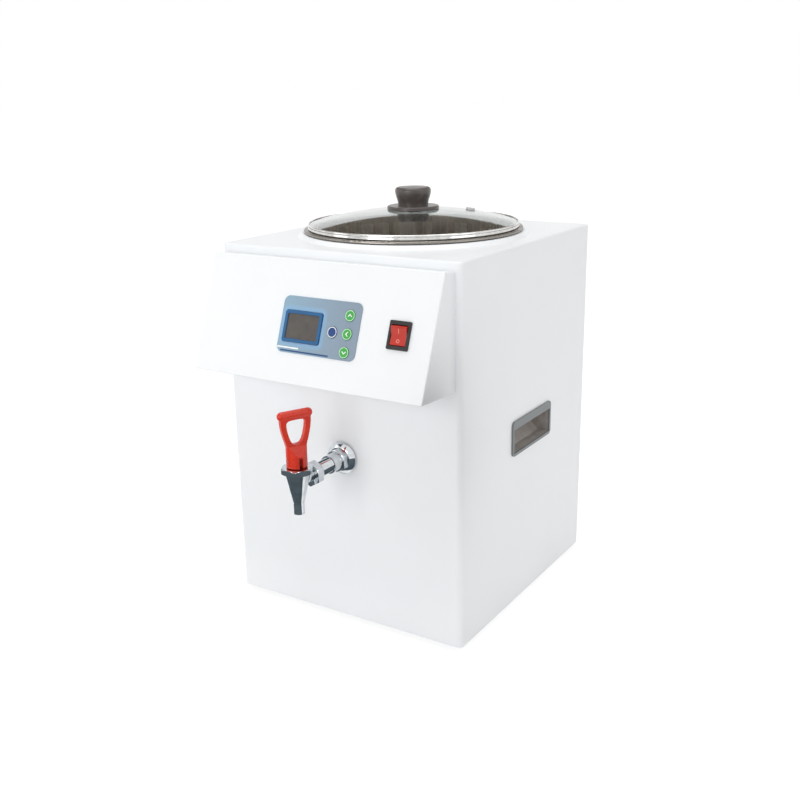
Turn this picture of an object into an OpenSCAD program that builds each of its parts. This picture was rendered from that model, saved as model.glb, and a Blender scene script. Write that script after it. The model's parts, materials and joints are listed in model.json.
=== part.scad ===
// Paraffin dispenser: a steel cabinet with a lidded wax tank, a sloped control head and a self-closing tap.
// Origin: centre of the cabinet's underside. +Z up, -Y is the front with the tap, +X is the viewer's right.

/* [Cabinet] */
// Width of the cabinet
body_w = 300; // [296:1:330]
// Depth of the cabinet, front to back
body_d = 316; // [310:1:350]
// Height of the flat top above the cabinet's lower edge
body_h = 413; // [409:1:430]
// Thickness of the cabinet's steel sheet
sheet = 1.2; // [0.8:0.1:1.5]
// Outer radius of the upright corners
corner_r = 6; // [4:0.5:9]
// Radius of the fold round the edge of the top
fold_r = 2.5; // [1.6:0.1:4]
// Height of the skirt below that fold
skirt_h = 6; // [3:0.5:10]
// Width of the return flanges at the back
return_w = 14; // [11:1:20]
// Thickness of the base plate
base_t = 1.5; // [1:0.1:2]
// Height of the base plate's upturned edge
base_edge_h = 12; // [8:1:20]

/* [Feet] */
// Height of a rubber foot
foot_h = 6; // [4:0.5:12]
// Radius of a foot where it meets the base
foot_r = 11; // [9:0.5:14]
// Distance of a foot's centre from the cabinet's sides
foot_inset = 36; // [30:1:50]

/* [Tank and lid] */
// Inner radius of the wax tank
tank_r = 115; // [110:0.5:116]
// Wall thickness of the wax tank
tank_wall = 1; // [0.8:0.1:1.2]
// Depth of the wax tank below its rim
tank_depth = 214; // [208:1:217]
// Radius between the tank's wall and its floor
tank_floor_r = 12; // [8:1:14]
// How far the rolled rim reaches past the tank's bore
rim_reach = 10; // [9:0.5:11]
// Radius of the roll at the rim's edge
rim_roll_r = 1.6; // [1.3:0.1:1.8]
// Height of the raised collar round the tank
collar_h = 3.8; // [2.5:0.1:6]
// Width of the collar's sloped outer side
collar_slope_w = 5; // [3:0.5:8]
// How far the lid's metal band reaches past the tank's bore
lid_reach = 5.6; // [5:0.1:6.5]
// Height of the lid's metal band
band_h = 6; // [6:0.1:8]
// Thickness of the lid's glass
glass_t = 3.5; // [3:0.1:3.6]
// Rise of the glass dome from its edge to its middle
dome_rise = 16; // [10:0.5:20]
// Radius of the flange under the knob
knob_flange_r = 29.5; // [24:0.5:32]
// Radius of the knob's neck
knob_neck_r = 17; // [14:0.5:18]
// Largest radius of the knob's grip
knob_grip_r = 20.4; // [18:0.2:24]
// Height of the knob above the glass
knob_h = 24.6; // [20:0.2:30]

/* [Control head] */
// Width of the control head
head_w = 286; // [270:1:288]
// Height of the head's back above the cabinet's lower edge
head_z = 283; // [270:1:290]
// Height of the head where it meets the cabinet
head_h = 120.2; // [116:0.2:124]
// Depth of the head at its top
head_top_d = 18; // [14:0.5:26]
// Depth of the head at its underside
head_low_d = 63.4; // [58:0.2:70]
// Height by which the head's front edges stand above its back edges
head_rise = 3; // [0:0.5:5]
// Width of the raised keypad plate
overlay_w = 97; // [94:0.5:104]
// Height of the raised keypad plate
overlay_h = 58.6; // [57:0.2:62]
// Thickness of the raised keypad plate
overlay_t = 0.8; // [0.5:0.1:1.2]
// Distance of the keypad plate's centre to the right of the middle
overlay_x = 10.7; // [4:0.1:16]
// Distance of the keypad plate's centre up the slope
overlay_v = 61.2; // [56:0.1:66]
// Width of the display's frame
bezel_w = 46.5; // [44:0.5:48]
// Height of the display's frame
bezel_h = 33; // [31:0.5:35]
// Width of the rim of the display's frame
bezel_rim = 3.6; // [3:0.1:4.4]
// Radius of a key
key_r = 5.7; // [5:0.1:6.2]
// Travel of a key
key_travel = 0.5; // [0.3:0.05:0.6]
// Pitch of the three keys in a column
key_pitch = 18.5; // [17:0.1:19.5]

/* [Power switch] */
// Width of the switch's frame
switch_w = 24; // [23.5:0.1:26]
// Height of the switch's frame
switch_h = 28.4; // [28:0.1:30]
// Distance of the switch's centre to the right of the middle
switch_x = 105.5; // [100:0.5:112]
// Width of the rocker
rocker_w = 17.7; // [16:0.1:18]
// Radius of the rocker about its pivot
rocker_r = 10; // [9:0.1:10.2]
// Angle that the rocker turns from off to on
rocker_swing = 20; // [14:1:24]

/* [Tap] */
// Distance of the tap to the right of the cabinet's middle
tap_x = 4; // [-10:0.5:10]
// Height of the tap's shank above the cabinet's lower edge
tap_z = 190.5; // [187:0.5:192]
// Distance from the cabinet's front to the tap's upright axis
tap_reach = 79.5; // [74:0.5:90]
// Radius of the wall flange
flange_r = 18.2; // [15:0.2:22]
// Outer radius of the shank's thread
shank_r = 8; // [7.4:0.1:8.4]
// Length of the plain sleeve on the shank
sleeve_l = 12.5; // [9:0.5:16]
// Radius of the spout's tube
spout_r = 5.9; // [5.4:0.1:6.4]
// Length of the spout's tube
spout_l = 11.6; // [9:0.2:16]
// Height of the tap's tapered part
taper_h = 28.4; // [26:0.2:30]
// Radius of the tap's body at the top of its taper
taper_r = 12.5; // [12:0.1:13.5]
// Width across the flats of the bonnet
bonnet_af = 31; // [29:0.5:34]
// Height of the bonnet's hexagon
bonnet_h = 6; // [5:0.5:8]
// Angle of the lever's flat side, round from the cabinet's width
lever_turn = 64; // [0:1:180]
// Radius of the lever's round neck
lever_neck_r = 10.9; // [10:0.1:12]
// Height of the lever's round neck
lever_neck_h = 21; // [19:0.5:26]
// Distance between the ends of the lever's top bar, centre to centre
lever_bar_l = 31; // [27:0.5:36]
// Radius of the lever's top bar
lever_bar_r = 4.7; // [4:0.1:5.5]
// Height of the lever from its foot to the middle of its top bar
lever_h = 55; // [50:0.5:62]

/* [Side grips] */
// Length of a side grip
grip_l = 99; // [90:1:110]
// Height of a side grip
grip_h = 40.5; // [38:0.5:44]
// Height of a grip's centre above the cabinet's lower edge
grip_z = 200.5; // [198:0.5:203]
// Distance of a grip's centre behind the middle
grip_y = 5; // [-10:1:15]
// Depth of a grip's pocket
grip_depth = 24; // [18:0.5:25]
// Height of the hood over a grip's pocket
grip_hood = 9.5; // [7:0.5:12]

/* [Power inlet] */
// Distance of the inlet's centre from the middle
inlet_x = 92; // [70:1:100]
// Height of the inlet's centre above the cabinet's lower edge
inlet_z = 58; // [45:1:80]

/* [Hidden] */
$fn = 96;

// Clearances shared by the whole model
gap = 0.3;        // between pieces that lie side by side
run_gap = 0.06;   // radial, round a pin
over = 1;         // overrun of a cut past the face it opens

// Cabinet
wrap_top = body_h - fold_r - skirt_h;
in_w = body_w - 2*sheet;
in_d = body_d - 2*sheet;
rear_open_w = body_w - 2*(corner_r + return_w);
rear_lap = 9;
rear_lap_z = 9;
rear_y = body_d/2;
slot_l = 46; slot_h = 3; slot_pitch = 9; slot_rows = 7;
slot_x_share = 0.24; slot_z_share = 0.62;
base_slot_l = 60; base_slot_w = 4; base_slot_n = 5; base_slot_pitch = 14; base_slot_x = 60;
base_slot_y = -78;
wire_port_w = 150; wire_port_h = 60;
screw_r = 1.7; screw_head_r = 3.6; screw_head_h = 2.2; screw_l = 8;
recess_l = 3.6; recess_w = 0.8; recess_depth_share = 0.6;
screw_inset = 5;
rear_screw_shares = [-1, 0, 1];
foot_screw_drop = 2.6;
foot_taper_share = 0.82;
rear_panel_h = wrap_top - rear_lap_z - gap;
rear_screw_places = [for (x = [-1, 1], z = rear_screw_shares)
  [x*(rear_open_w/2 + screw_inset), wrap_top/2 + z*(wrap_top/2 - 3*screw_inset)]];
foot_places = [for (x = [-1, 1], y = [-1, 1]) [x*(body_w/2 - foot_inset), y*(body_d/2 - foot_inset)]];

// Tank, rim and lid
rim_under = body_h + collar_h + gap;
rim_top = rim_under + 2*rim_roll_r;
rim_r = tank_r + rim_reach;
tank_or = tank_r + tank_wall;
tank_floor = rim_top - tank_depth;
tank_low = tank_floor - tank_wall;
collar_margin = 2; collar_hole_gap = 1.4;
collar_r = rim_r + collar_margin;
collar_hole_r = tank_or + collar_hole_gap;
collar_lip_h = 5;
lid_r = tank_r + lid_reach;
lid_z = rim_top + gap;
band_t = 0.8;
band_in = 7.6;
band_lip = 2;
glass_r = lid_r - band_t - gap;
glass_z = lid_z + band_t + gap;
dome_r = (pow(glass_r, 2) + pow(dome_rise, 2))/(2*dome_rise);
glass_top = glass_z + glass_t + dome_rise;
knob_seat = 0.2;
knob_flange_t = 3;
knob_dome_h = 1.2;
knob_hole_r = 4;
knob_screw_r = 2.6;
knob_screw_head_r = 8;
knob_screw_head_h = 2.4;
knob_bore_depth = 12;
knob_steps = 12; knob_edge_r = 3.8; knob_rise_share = 0.15;
knob_waist = glass_top + knob_flange_t;
knob_wide = glass_top + knob_h - knob_dome_h - knob_edge_r;
knob_curve = [for (i = [0 : knob_steps]) let (t = i/knob_steps)
  [knob_neck_r + (knob_grip_r - knob_neck_r)*(1 - cos(180*t))/2, knob_waist + t*(knob_wide - knob_waist)]];
knob_edge = [for (a = [0 : 90/knob_steps : 90])
  [knob_grip_r - knob_edge_r + knob_edge_r*cos(a),
    knob_wide + (knob_edge_r + knob_dome_h*knob_rise_share)*sin(a)]];
vent_r = 5.2; vent_hole_r = 2; vent_neck_r = 3.4; vent_h = 2.2; vent_off = 68; vent_turn = 46;

// Tank's carriers and heaters
shelf_t = 1.5; shelf_edge_h = 12;
shelf_drop = 5; post_l = 24;
shelf_top = min(grip_z - grip_h/2 - shelf_drop, tank_low - post_l);
post_r = 6; post_share = 0.83; post_bore_r = 2.2;
heater_t = 6; heater_r = 66; heater_bore_r = 20;
post_places = [for (x = [-1, 1], y = [-1, 1]) [x*post_share*tank_r*sin(45), y*post_share*tank_r*sin(45)]];
band_heater_h = 30; band_heater_t = 2; band_heater_z = tank_low + tank_floor_r + tank_wall;
jacket_t = 17; jacket_gap = 6;
jacket_low = max(grip_z + grip_h/2, band_heater_z + band_heater_h) + jacket_gap;
jacket_top = wrap_top - jacket_gap;
probe_r = 3; probe_l = 38; probe_clip_w = 12; probe_clip_l = 18; probe_clip_h = 8; probe_y = 30;
cutout_r = 8; cutout_h = 6; cutout_flange_r = 12; cutout_flange_t = 1; cutout_x = 30;
tab_w = 6.3; tab_t = 0.8; tab_l = 9; tab_share = 0.6;
shank_in = 22; outlet_end = body_d/2 - sheet - shank_in;
outlet_off = 88; outlet_r = 10.5; outlet_bore_r = 7; outlet_flange_r = 15; outlet_flange_t = 2;
block_w = 40; block_l = 20; block_h = 24; cartridge_r = 3.25; cartridge_over = 4; cartridge_drop = 9;
tap_block_y = -outlet_end + (outlet_end - outlet_off - outlet_flange_r)/2;

// Control head: v runs up the slope from its lower edge, w runs out of it
head_front_y = -body_d/2 - head_low_d;
head_front_z = head_z + head_rise;
head_tilt = atan((head_low_d - head_top_d)/head_h);
head_flange = 10;
head_screw_places = [for (x = [-1, 1], z = [0, 1])
  [x*(head_w/2 - head_flange/2 - sheet), -body_d/2 + sheet/2,
   head_z + head_flange/2 + sheet + z*(head_h - head_flange - 2*sheet)]];
overlay_r = 7;
bezel_margin = 5.2; bezel_drop = 1.8;
bezel_x = overlay_x - overlay_w/2 + bezel_margin + bezel_w/2;
bezel_v = overlay_v - bezel_drop;
bezel_r = 3;
bezel_proud = 1.4;
bezel_neck_depth = 7;
bezel_neck_step = 1.5;
bezel_lip = 1;
screen_t = 1;
screen_w = bezel_w - 2*bezel_rim + 2*bezel_lip - 2*gap;
screen_h = bezel_h - 2*bezel_rim + 2*bezel_lip - 2*gap;
screen_top = overlay_t + bezel_proud - bezel_lip;
set_dx = 17.3; column_dx = 35.3; key_drop = 2.9;
set_x = overlay_x + set_dx;
column_x = overlay_x + column_dx;
key_v = overlay_v - key_drop;
key_places = [[set_x, key_v], [column_x, key_v + key_pitch], [column_x, key_v], [column_x,
  key_v - key_pitch]];
key_proud = 0.6;
key_flange_w = 1.1; key_flange_r = key_r + key_flange_w;
key_flange_t = 1.2;
key_stem_r = 1.6;
key_back = sheet + gap;
board_w = 100; board_h = 54; board_t = 1.6; board_back = 12.4;
board_dx = 0.7; board_drop = 2.2;
board_x = overlay_x - board_dx; board_v = overlay_v - board_drop;
board_post_r = 2.5; board_post_inset = 3;
board_post_places = [for (x = [-1, 1], y = [-1, 1])
  [x*(board_w/2 - board_post_inset), y*(board_h/2 - board_post_inset)]];
tact_w = 6; tact_h = 3.2; tact_plunger_r = 1.6; tact_plunger_h = 0.4;
key_stem_end = board_back - tact_h - tact_plunger_h - key_travel - gap;

// Power switch
switch_rise = 2.4;
switch_v = overlay_v + switch_rise;
switch_frame_t = 2;
switch_body_w = 21.2; switch_body_h = 25; switch_depth = 18;
switch_mouth_w = rocker_w + 2*gap;
switch_mouth_h = 2*(rocker_r + gap);
switch_well = 8;
rocker_pivot = -1;
rocker_end_share = 0.9;
rocker_end = rocker_end_share*rocker_r;
rocker_end_h = sqrt(pow(rocker_r, 2) - pow(rocker_end, 2));
rocker_dip = 2;
rocker_floor = 5;
trunnion_r = 1.5; trunnion_l = 0.9;
spade_w = 4.8; spade_t = 0.8; spade_l = 8; spade_pitch = 7;

// Tap
tap_y = -body_d/2 - tap_reach;
gasket_t = 1; gasket_r = 15;
flange_t = 5.5; flange_rim_t = 1.6;
nut_af = 23; nut_t = 8;
sleeve_r = 10;
union_t = 10; union_af = 23.5; union_lip = 3;
lock_t = 6; lock_af = 24;
shank_bore_r = 5.2;
socket_depth = 8;
thread_gap = 0.1;
chamfer_share = 0.5; corner_share = 0.07;
flange_land_r = 13;
flange_dome_z = (pow(flange_land_r, 2) + pow(flange_t, 2) - pow(flange_r, 2) - pow(flange_rim_t, 2))
  /(2*(flange_t - flange_rim_t));
flange_dome_r = norm([flange_r, flange_rim_t - flange_dome_z]);
horn_r = 7; horn_bore_r = 4.8; horn_flange_t = 1.6;
union_back = 29.5; union_start = tap_reach - union_back;
shank_out = union_start + union_t - union_lip - horn_flange_t - gap;
horn_l = tap_reach - union_start - union_t + union_lip + horn_flange_t;
shank_back = sheet + shank_in + socket_depth;
thread_pitch = 1.5; thread_h = 0.8;
thread_start = gasket_t + flange_t + nut_t + sleeve_l;
thread_turns = floor((union_start - thread_start)/thread_pitch);
spout_bore_r = 4.1;
spout_drop = 35.5; spout_low = tap_z - spout_drop;
taper_low = spout_low + spout_l;
taper_top = taper_low + taper_h;
seat_rise = 4.4; seat_z = taper_low + seat_rise;
seat_r = 5.7; seat_h = 3;
chamber_r = 9.5;
thread_depth = 4.6; thread_z = taper_top - thread_depth;
thread_r = 10.4;
shoulder_h = 4.8; shoulder_r = 13.6;
bonnet_z = taper_top + shoulder_h;
bonnet_top = bonnet_z + bonnet_h;
bonnet_bore_r = 1.8;
bonnet_pocket_r = 7; bonnet_roof = 9;
pocket_roof = bonnet_top - bonnet_roof;
stem_r = 1.5; eye_r = 3.2; eye_t = 3.4; stem_collar_r = 3; stem_collar_t = 1;
cup_r = 5.2; cup_h = 8; cup_hole = 5;
cup_top = seat_z + gap + cup_h;
cup_flange_r = 6.2; cup_flange_t = 1.6;
washer_r = 6.4; washer_t = 0.8;
spring_wire_r = 0.45; spring_r = 4.6; spring_turns = 6; spring_steps = 20; spring_sides = 6;
spring_low = cup_top + spring_wire_r + thread_gap;
spring_high = pocket_roof - gap - washer_t - spring_wire_r - thread_gap;
spring_rings = spring_turns*spring_steps;
lever_gap = 0.8;
lever_foot = bonnet_top + lever_gap;
pin_h = 6;
pin_r = 1.3;
pin_share = 0.94;
pin_z = lever_foot + pin_h;
lever_slot = eye_t + 2*gap;
lever_slot_h = 11.2;
lever_leg_r = 3.2;
lever_foot_x = 7.4;
lever_leg_z = lever_foot + lever_neck_h;
lever_bar_z = lever_foot + lever_h;
lever_edge = 1;
lever_flat_h = 12.4; lever_web_h = 24.4; lever_ridge_h = 27.4;
lever_flat_slope = (lever_ridge_h - lever_flat_h)/(lever_neck_r - lever_leg_r);

// Side grips
grip_corner_r = 5; grip_proud = 2.2; grip_rim = 3.4; grip_wall = 2;
grip_cup_l = grip_l - 2*grip_rim + 2*grip_wall;
grip_cup_h = grip_h - 2*grip_rim + 2*grip_wall;
grip_hood_t = 1;
grip_low = grip_wall - grip_cup_h/2;
grip_mouth = grip_h/2 - grip_hood;
grip_roof = grip_cup_h/2 - grip_wall;
grip_cup_r = 4;
grip_floor_shares = [0.5, 0.28];

// Power inlet and the parts on the base plate
inlet_w = 50; inlet_h = 28; inlet_t = 2.6; inlet_r = 4;
inlet_body_w = 28; inlet_body_h = 22; inlet_depth = 24;
inlet_mouth_w = 24.4; inlet_mouth_h = 16.6; inlet_chamfer = 5.2; inlet_well = 17;
inlet_screw_pitch = 40;
pin_w = 4; pin_t = 2; pin_l = 15; pin_dx = 7; pin_dz = 2; pin_tail = 9;
inlet_pin_places = [[-pin_dx, pin_dz], [0, -pin_dz], [pin_dx, pin_dz]];
supply_l = 110; supply_w = 62; supply_h = 36; supply_x = -70; supply_y = 60;
supply_slots = 8; supply_slot_w = 2.4;
relay_l = 58; relay_w = 45; relay_h = 28; relay_x = 60; relay_y = -20; relay_post_r = 4; relay_post_h = 3;
block_n = 6; block_pitch = 10; block_d = 20; block_tall = 17; block_x = -20; block_y = -90;
block_screw_r = 2.2;
block_groove_share = 0.6;

// Plane helpers

module round_rect(w, h, r) {
  square([w - 2*r, h], center = true);
  square([w, h - 2*r], center = true);
  for (x = [-1, 1], y = [-1, 1]) translate([x*(w/2 - r), y*(h/2 - r)]) circle(r);
}

module slab(w, h, r, t) linear_extrude(t) round_rect(w, h, r);

module hexagon(af, t) rotate([0, 0, 30]) cylinder(h = t, r = af/2/cos(30), $fn = 6);

module tube(ro, ri, t) difference() {
  cylinder(h = t, r = ro);
  translate([0, 0, -over]) cylinder(h = t + 2*over, r = ri);
}

// Stands children on the sloped face of the control head
module on_slope(x = 0, v = 0, w = 0)
  translate([0, head_front_y, head_front_z]) rotate([90 - head_tilt, 0, 0])
    translate([x, v, w]) children();

// Turns children so that their height runs out of the cabinet's front, from the wall
module on_front(t = 0) translate([tap_x, -body_d/2 - t, tap_z]) rotate([90, 0, 0]) children();

// Turns children so that their height runs out of the cabinet's back
module on_back(x = 0, z = 0, t = 0) translate([x, rear_y + t, z]) rotate([-90, 0, 0]) children();

// Stands children on the tap's upright axis
module on_tap(z = 0) translate([tap_x, tap_y, z]) children();

// Turns children with the lever about the tap's upright axis
module with_lever() on_tap() rotate([0, 0, lever_turn]) children();

// Cabinet

module fold_strip(l) rotate([90, 0, 90]) linear_extrude(l, center = true) fold_profile();

module fold_profile() {
  intersection() {
    difference() { circle(fold_r); circle(fold_r - sheet); }
    translate([-fold_r, 0]) square(fold_r);
  }
  translate([-fold_r, -skirt_h]) square([sheet, skirt_h]);
}

module fold_corner() rotate_extrude(angle = 90)
  translate([corner_r - fold_r, 0]) mirror([1, 0]) fold_profile();

module cabinet_wrap() color("white") difference() {
  linear_extrude(wrap_top) difference() {
    round_rect(body_w, body_d, corner_r);
    round_rect(in_w, in_d, corner_r - sheet);
    translate([-rear_open_w/2, 0]) square([rear_open_w, body_d]);
  }
  on_front(-2*sheet) cylinder(h = 3*sheet, r = shank_r + gap);
  translate([-wire_port_w/2, -body_d/2 - over, head_z + head_h/2 - wire_port_h/2])
    cube([wire_port_w, sheet + 2*over, wire_port_h]);
  for (s = [0, 1]) mirror([s, 0, 0]) grip_frame()
    translate([0, 0, -2*sheet]) slab(grip_cup_l + 2*gap, grip_cup_h + 2*gap, grip_cup_r, 3*sheet);
  for (p = head_screw_places) translate(p) rotate([90, 0, 0])
    cylinder(h = 3*sheet, r = screw_r + gap, center = true);
  for (p = rear_screw_places) on_back(p[0], p[1], -2*sheet) cylinder(h = 3*sheet, r = screw_r + gap);
}

module top_panel() color("white") {
  difference() {
    translate([0, 0, body_h - sheet])
      slab(body_w - 2*fold_r, body_d - 2*fold_r, corner_r - fold_r, sheet);
    translate([0, 0, body_h - sheet - over])
      cylinder(h = sheet + 2*over, r = collar_r + collar_slope_w - sheet);
  }
  translate([0, 0, body_h - fold_r]) {
    for (s = [0, 1]) mirror([0, s, 0])
      translate([0, -body_d/2 + fold_r, 0]) fold_strip(body_w - 2*corner_r);
    for (s = [0, 1]) mirror([s, 0, 0])
      translate([body_w/2 - fold_r, 0, 0]) rotate([0, 0, 90]) fold_strip(body_d - 2*corner_r);
    for (x = [0, 1], y = [0, 1]) mirror([x, 0, 0]) mirror([0, y, 0])
      translate([body_w/2 - corner_r, body_d/2 - corner_r, 0]) fold_corner();
  }
  rotate_extrude() {
    polygon([
      [collar_r + collar_slope_w, body_h], [collar_r, body_h + collar_h],
      [collar_hole_r, body_h + collar_h], [collar_hole_r, body_h + collar_h - collar_lip_h],
      [collar_hole_r + sheet, body_h + collar_h - collar_lip_h],
      [collar_hole_r + sheet, body_h + collar_h - sheet],
      [collar_r - sheet/2, body_h + collar_h - sheet],
      [collar_r + collar_slope_w - sheet, body_h - sheet],
      [collar_r + collar_slope_w, body_h - sheet]
    ]);
  }
}

module rear_panel() color("white") difference() {
  on_back(0, rear_lap_z + rear_panel_h/2) slab(rear_open_w + 2*rear_lap, rear_panel_h, corner_r, sheet);
  for (s = [-1, 1], i = [0 : slot_rows - 1])
    on_back(s*slot_x_share*body_w, slot_z_share*body_h + (i - slot_rows/2)*slot_pitch, -over)
      slab(slot_l, slot_h, slot_h/2 - gap/2, sheet + 2*over);
  on_back(inlet_x, inlet_z, -over)
    linear_extrude(sheet + 2*over) square([inlet_body_w + 2*gap, inlet_body_h + 2*gap], center = true);
  for (p = rear_screw_places) on_back(p[0], p[1], -over) cylinder(h = sheet + 2*over, r = screw_r + gap);
  for (s = [-1, 1]) on_back(inlet_x + s*inlet_screw_pitch/2, inlet_z, -over)
    cylinder(h = sheet + 2*over, r = screw_r + gap);
}

module base_plate() color("gainsboro") difference() {
  linear_extrude(base_edge_h) round_rect(in_w - 2*gap, in_d - 2*gap, corner_r - sheet);
  translate([0, 0, base_t]) linear_extrude(base_edge_h)
    round_rect(in_w - 2*gap - 2*base_t, in_d - 2*gap - 2*base_t, corner_r - sheet);
  for (p = foot_places) translate([p[0], p[1], -over]) cylinder(h = base_t + 2*over, r = screw_r + gap);
  for (i = [0 : base_slot_n - 1])
    translate([base_slot_x, base_slot_y - i*base_slot_pitch, -over])
      slab(base_slot_l, base_slot_w, base_slot_w/2 - gap/2, base_t + 2*over);
}

module foot() difference() {
  translate([0, 0, -foot_h]) cylinder(h = foot_h, r1 = foot_r*foot_taper_share, r2 = foot_r);
  translate([0, 0, -foot_h - over]) cylinder(h = foot_h + 2*over, r = screw_r + gap);
  translate([0, 0, -foot_h - over]) cylinder(h = foot_screw_drop + over, r = screw_head_r + gap);
}

module feet() color("dimgray") for (p = foot_places) translate(p) foot();

// A cross-recessed pan head screw whose head stands on z = 0 and whose shank runs down
module screw(l = screw_l) difference() {
  rotate_extrude() {
    translate([0, -l]) square([screw_r, l]);
    intersection() {
      translate([0, screw_head_h - 2*screw_head_r]) circle(2*screw_head_r);
      square([screw_head_r, screw_head_h]);
    }
  }
  for (a = [0, 90]) rotate([0, 0, a])
    translate([-recess_l/2, -recess_w/2, screw_head_h*(1 - recess_depth_share)])
      cube([recess_l, recess_w, screw_head_h]);
}

module cabinet_screws() color("silver") {
  for (p = rear_screw_places) on_back(p[0], p[1], sheet) screw();
  for (s = [-1, 1]) on_back(inlet_x + s*inlet_screw_pitch/2, inlet_z, sheet + inlet_t) screw();
  for (p = foot_places) translate([p[0], p[1], foot_screw_drop - foot_h]) mirror([0, 0, 1]) screw();
  for (p = head_screw_places) translate([p[0], -body_d/2 + sheet, p[2]]) rotate([-90, 0, 0]) screw(sheet*4);
}

// Tank and what carries and heats it

module pot_section(r, low, floor_r, top) {
  translate([0, low]) square([r - floor_r, top - low]);
  translate([0, low + floor_r]) square([r, top - low - floor_r]);
  translate([r - floor_r, low + floor_r]) circle(floor_r);
}

module wax_tank() color("silver") difference() {
  rotate_extrude() {
    difference() {
      pot_section(tank_or, tank_low, tank_floor_r + tank_wall, rim_top);
      pot_section(tank_r, tank_floor, tank_floor_r, rim_top + over);
    }
    translate([tank_r, rim_top - tank_wall]) square([rim_reach - rim_roll_r, tank_wall]);
    translate([rim_r - rim_roll_r, rim_top - rim_roll_r]) circle(rim_roll_r);
  }
  translate([tap_x, -outlet_off, tank_low - over]) cylinder(h = tank_wall + 2*over, r = outlet_bore_r);
}

module tank_shelf() color("gainsboro") difference() {
  translate([0, 0, shelf_top - shelf_edge_h]) linear_extrude(shelf_edge_h)
    square([in_w - 2*gap, in_d - 4*base_edge_h], center = true);
  translate([0, 0, shelf_top - shelf_edge_h - shelf_t]) linear_extrude(shelf_edge_h)
    square([in_w - 2*gap - 2*shelf_t, in_d], center = true);
  for (p = post_places) translate([p[0], p[1], shelf_top - shelf_t - over])
    cylinder(h = shelf_t + 2*over, r = post_bore_r);
}

module tank_posts() color("silver") for (p = post_places)
  translate([p[0], p[1], shelf_top]) tube(post_r, post_bore_r, tank_low - shelf_top);

module base_heater() color("darkgray") translate([0, 0, tank_low - heater_t])
  tube(heater_r, heater_bore_r, heater_t);

module heater_band() color("sienna") translate([0, 0, band_heater_z])
  tube(tank_or + thread_gap + band_heater_t, tank_or + thread_gap, band_heater_h);

module insulation_jacket() color("khaki") translate([0, 0, jacket_low])
  tube(tank_or + thread_gap + jacket_t, tank_or + thread_gap, jacket_top - jacket_low);

module temperature_probe() color("silver") translate([0, probe_y, tank_low - heater_t]) {
  difference() {
    translate([-probe_clip_w/2, -probe_clip_l/2, -probe_clip_h])
      cube([probe_clip_w, probe_clip_l, probe_clip_h]);
    translate([0, -probe_clip_l/2 - over, -probe_clip_h/2]) rotate([-90, 0, 0])
      cylinder(h = probe_clip_l + 2*over, r = probe_r + run_gap);
  }
  translate([0, -probe_clip_l/2, -probe_clip_h/2]) rotate([-90, 0, 0]) cylinder(h = probe_l, r = probe_r);
}

module thermal_cutout() color("tan") translate([cutout_x, 0, tank_low - heater_t]) {
  translate([0, 0, -cutout_flange_t]) cylinder(h = cutout_flange_t, r = cutout_flange_r);
  translate([0, 0, -cutout_h]) cylinder(h = cutout_h, r = cutout_r);
  for (s = [-1, 1]) translate([s*cutout_r*tab_share - tab_t/2, -tab_w/2, -cutout_h - tab_l])
    cube([tab_t, tab_w, tab_l + over]);
}

module tank_outlet() color("silver") difference() {
  union() {
    translate([tap_x, -outlet_off, tap_z]) cylinder(h = tank_low - tap_z, r = outlet_r);
    translate([tap_x, -outlet_off, tank_low - outlet_flange_t])
      cylinder(h = outlet_flange_t, r = outlet_flange_r);
    translate([tap_x, -outlet_off, tap_z]) sphere(outlet_r);
    translate([tap_x, -outlet_end, tap_z]) rotate([-90, 0, 0])
      cylinder(h = outlet_end - outlet_off, r = outlet_r);
  }
  translate([tap_x, -outlet_off, tap_z]) cylinder(h = tank_low - tap_z + over, r = outlet_bore_r);
  translate([tap_x, -outlet_off, tap_z]) sphere(outlet_bore_r);
  translate([tap_x, -outlet_end - over, tap_z]) rotate([-90, 0, 0]) {
    cylinder(h = outlet_end - outlet_off + over, r = shank_bore_r);
    cylinder(h = socket_depth + over, r = shank_r + thread_gap);
  }
}

module tap_heater_block() color("silver") translate([tap_x, tap_block_y, tap_z])
  difference() {
    translate([-block_w/2, -block_l/2, -block_h/2]) cube([block_w, block_l, block_h]);
    rotate([90, 0, 0]) cylinder(h = block_l + 2*over, r = outlet_r + gap, center = true);
    translate([block_w/2 - cartridge_drop/2, 0, 0])
      cylinder(h = block_h + 2*over, r = cartridge_r + run_gap, center = true);
  }

module tap_heater_cartridge() color("gray")
  translate([tap_x + block_w/2 - cartridge_drop/2, tap_block_y, tap_z - block_h/2])
    cylinder(h = block_h + cartridge_over, r = cartridge_r);

// Control head

function head_points(inset) = [
  [-body_d/2 - inset, head_z + inset],
  [head_front_y + inset/cos(head_tilt) + inset*tan(head_tilt), head_front_z + inset],
  [-body_d/2 - head_top_d + inset/cos(head_tilt) - inset*tan(head_tilt), head_front_z + head_h - inset],
  [-body_d/2 - inset, head_z + head_h - inset]
];

module head_prism(w, inset) rotate([90, 0, 90]) linear_extrude(w, center = true)
  polygon(head_points(inset));

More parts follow.
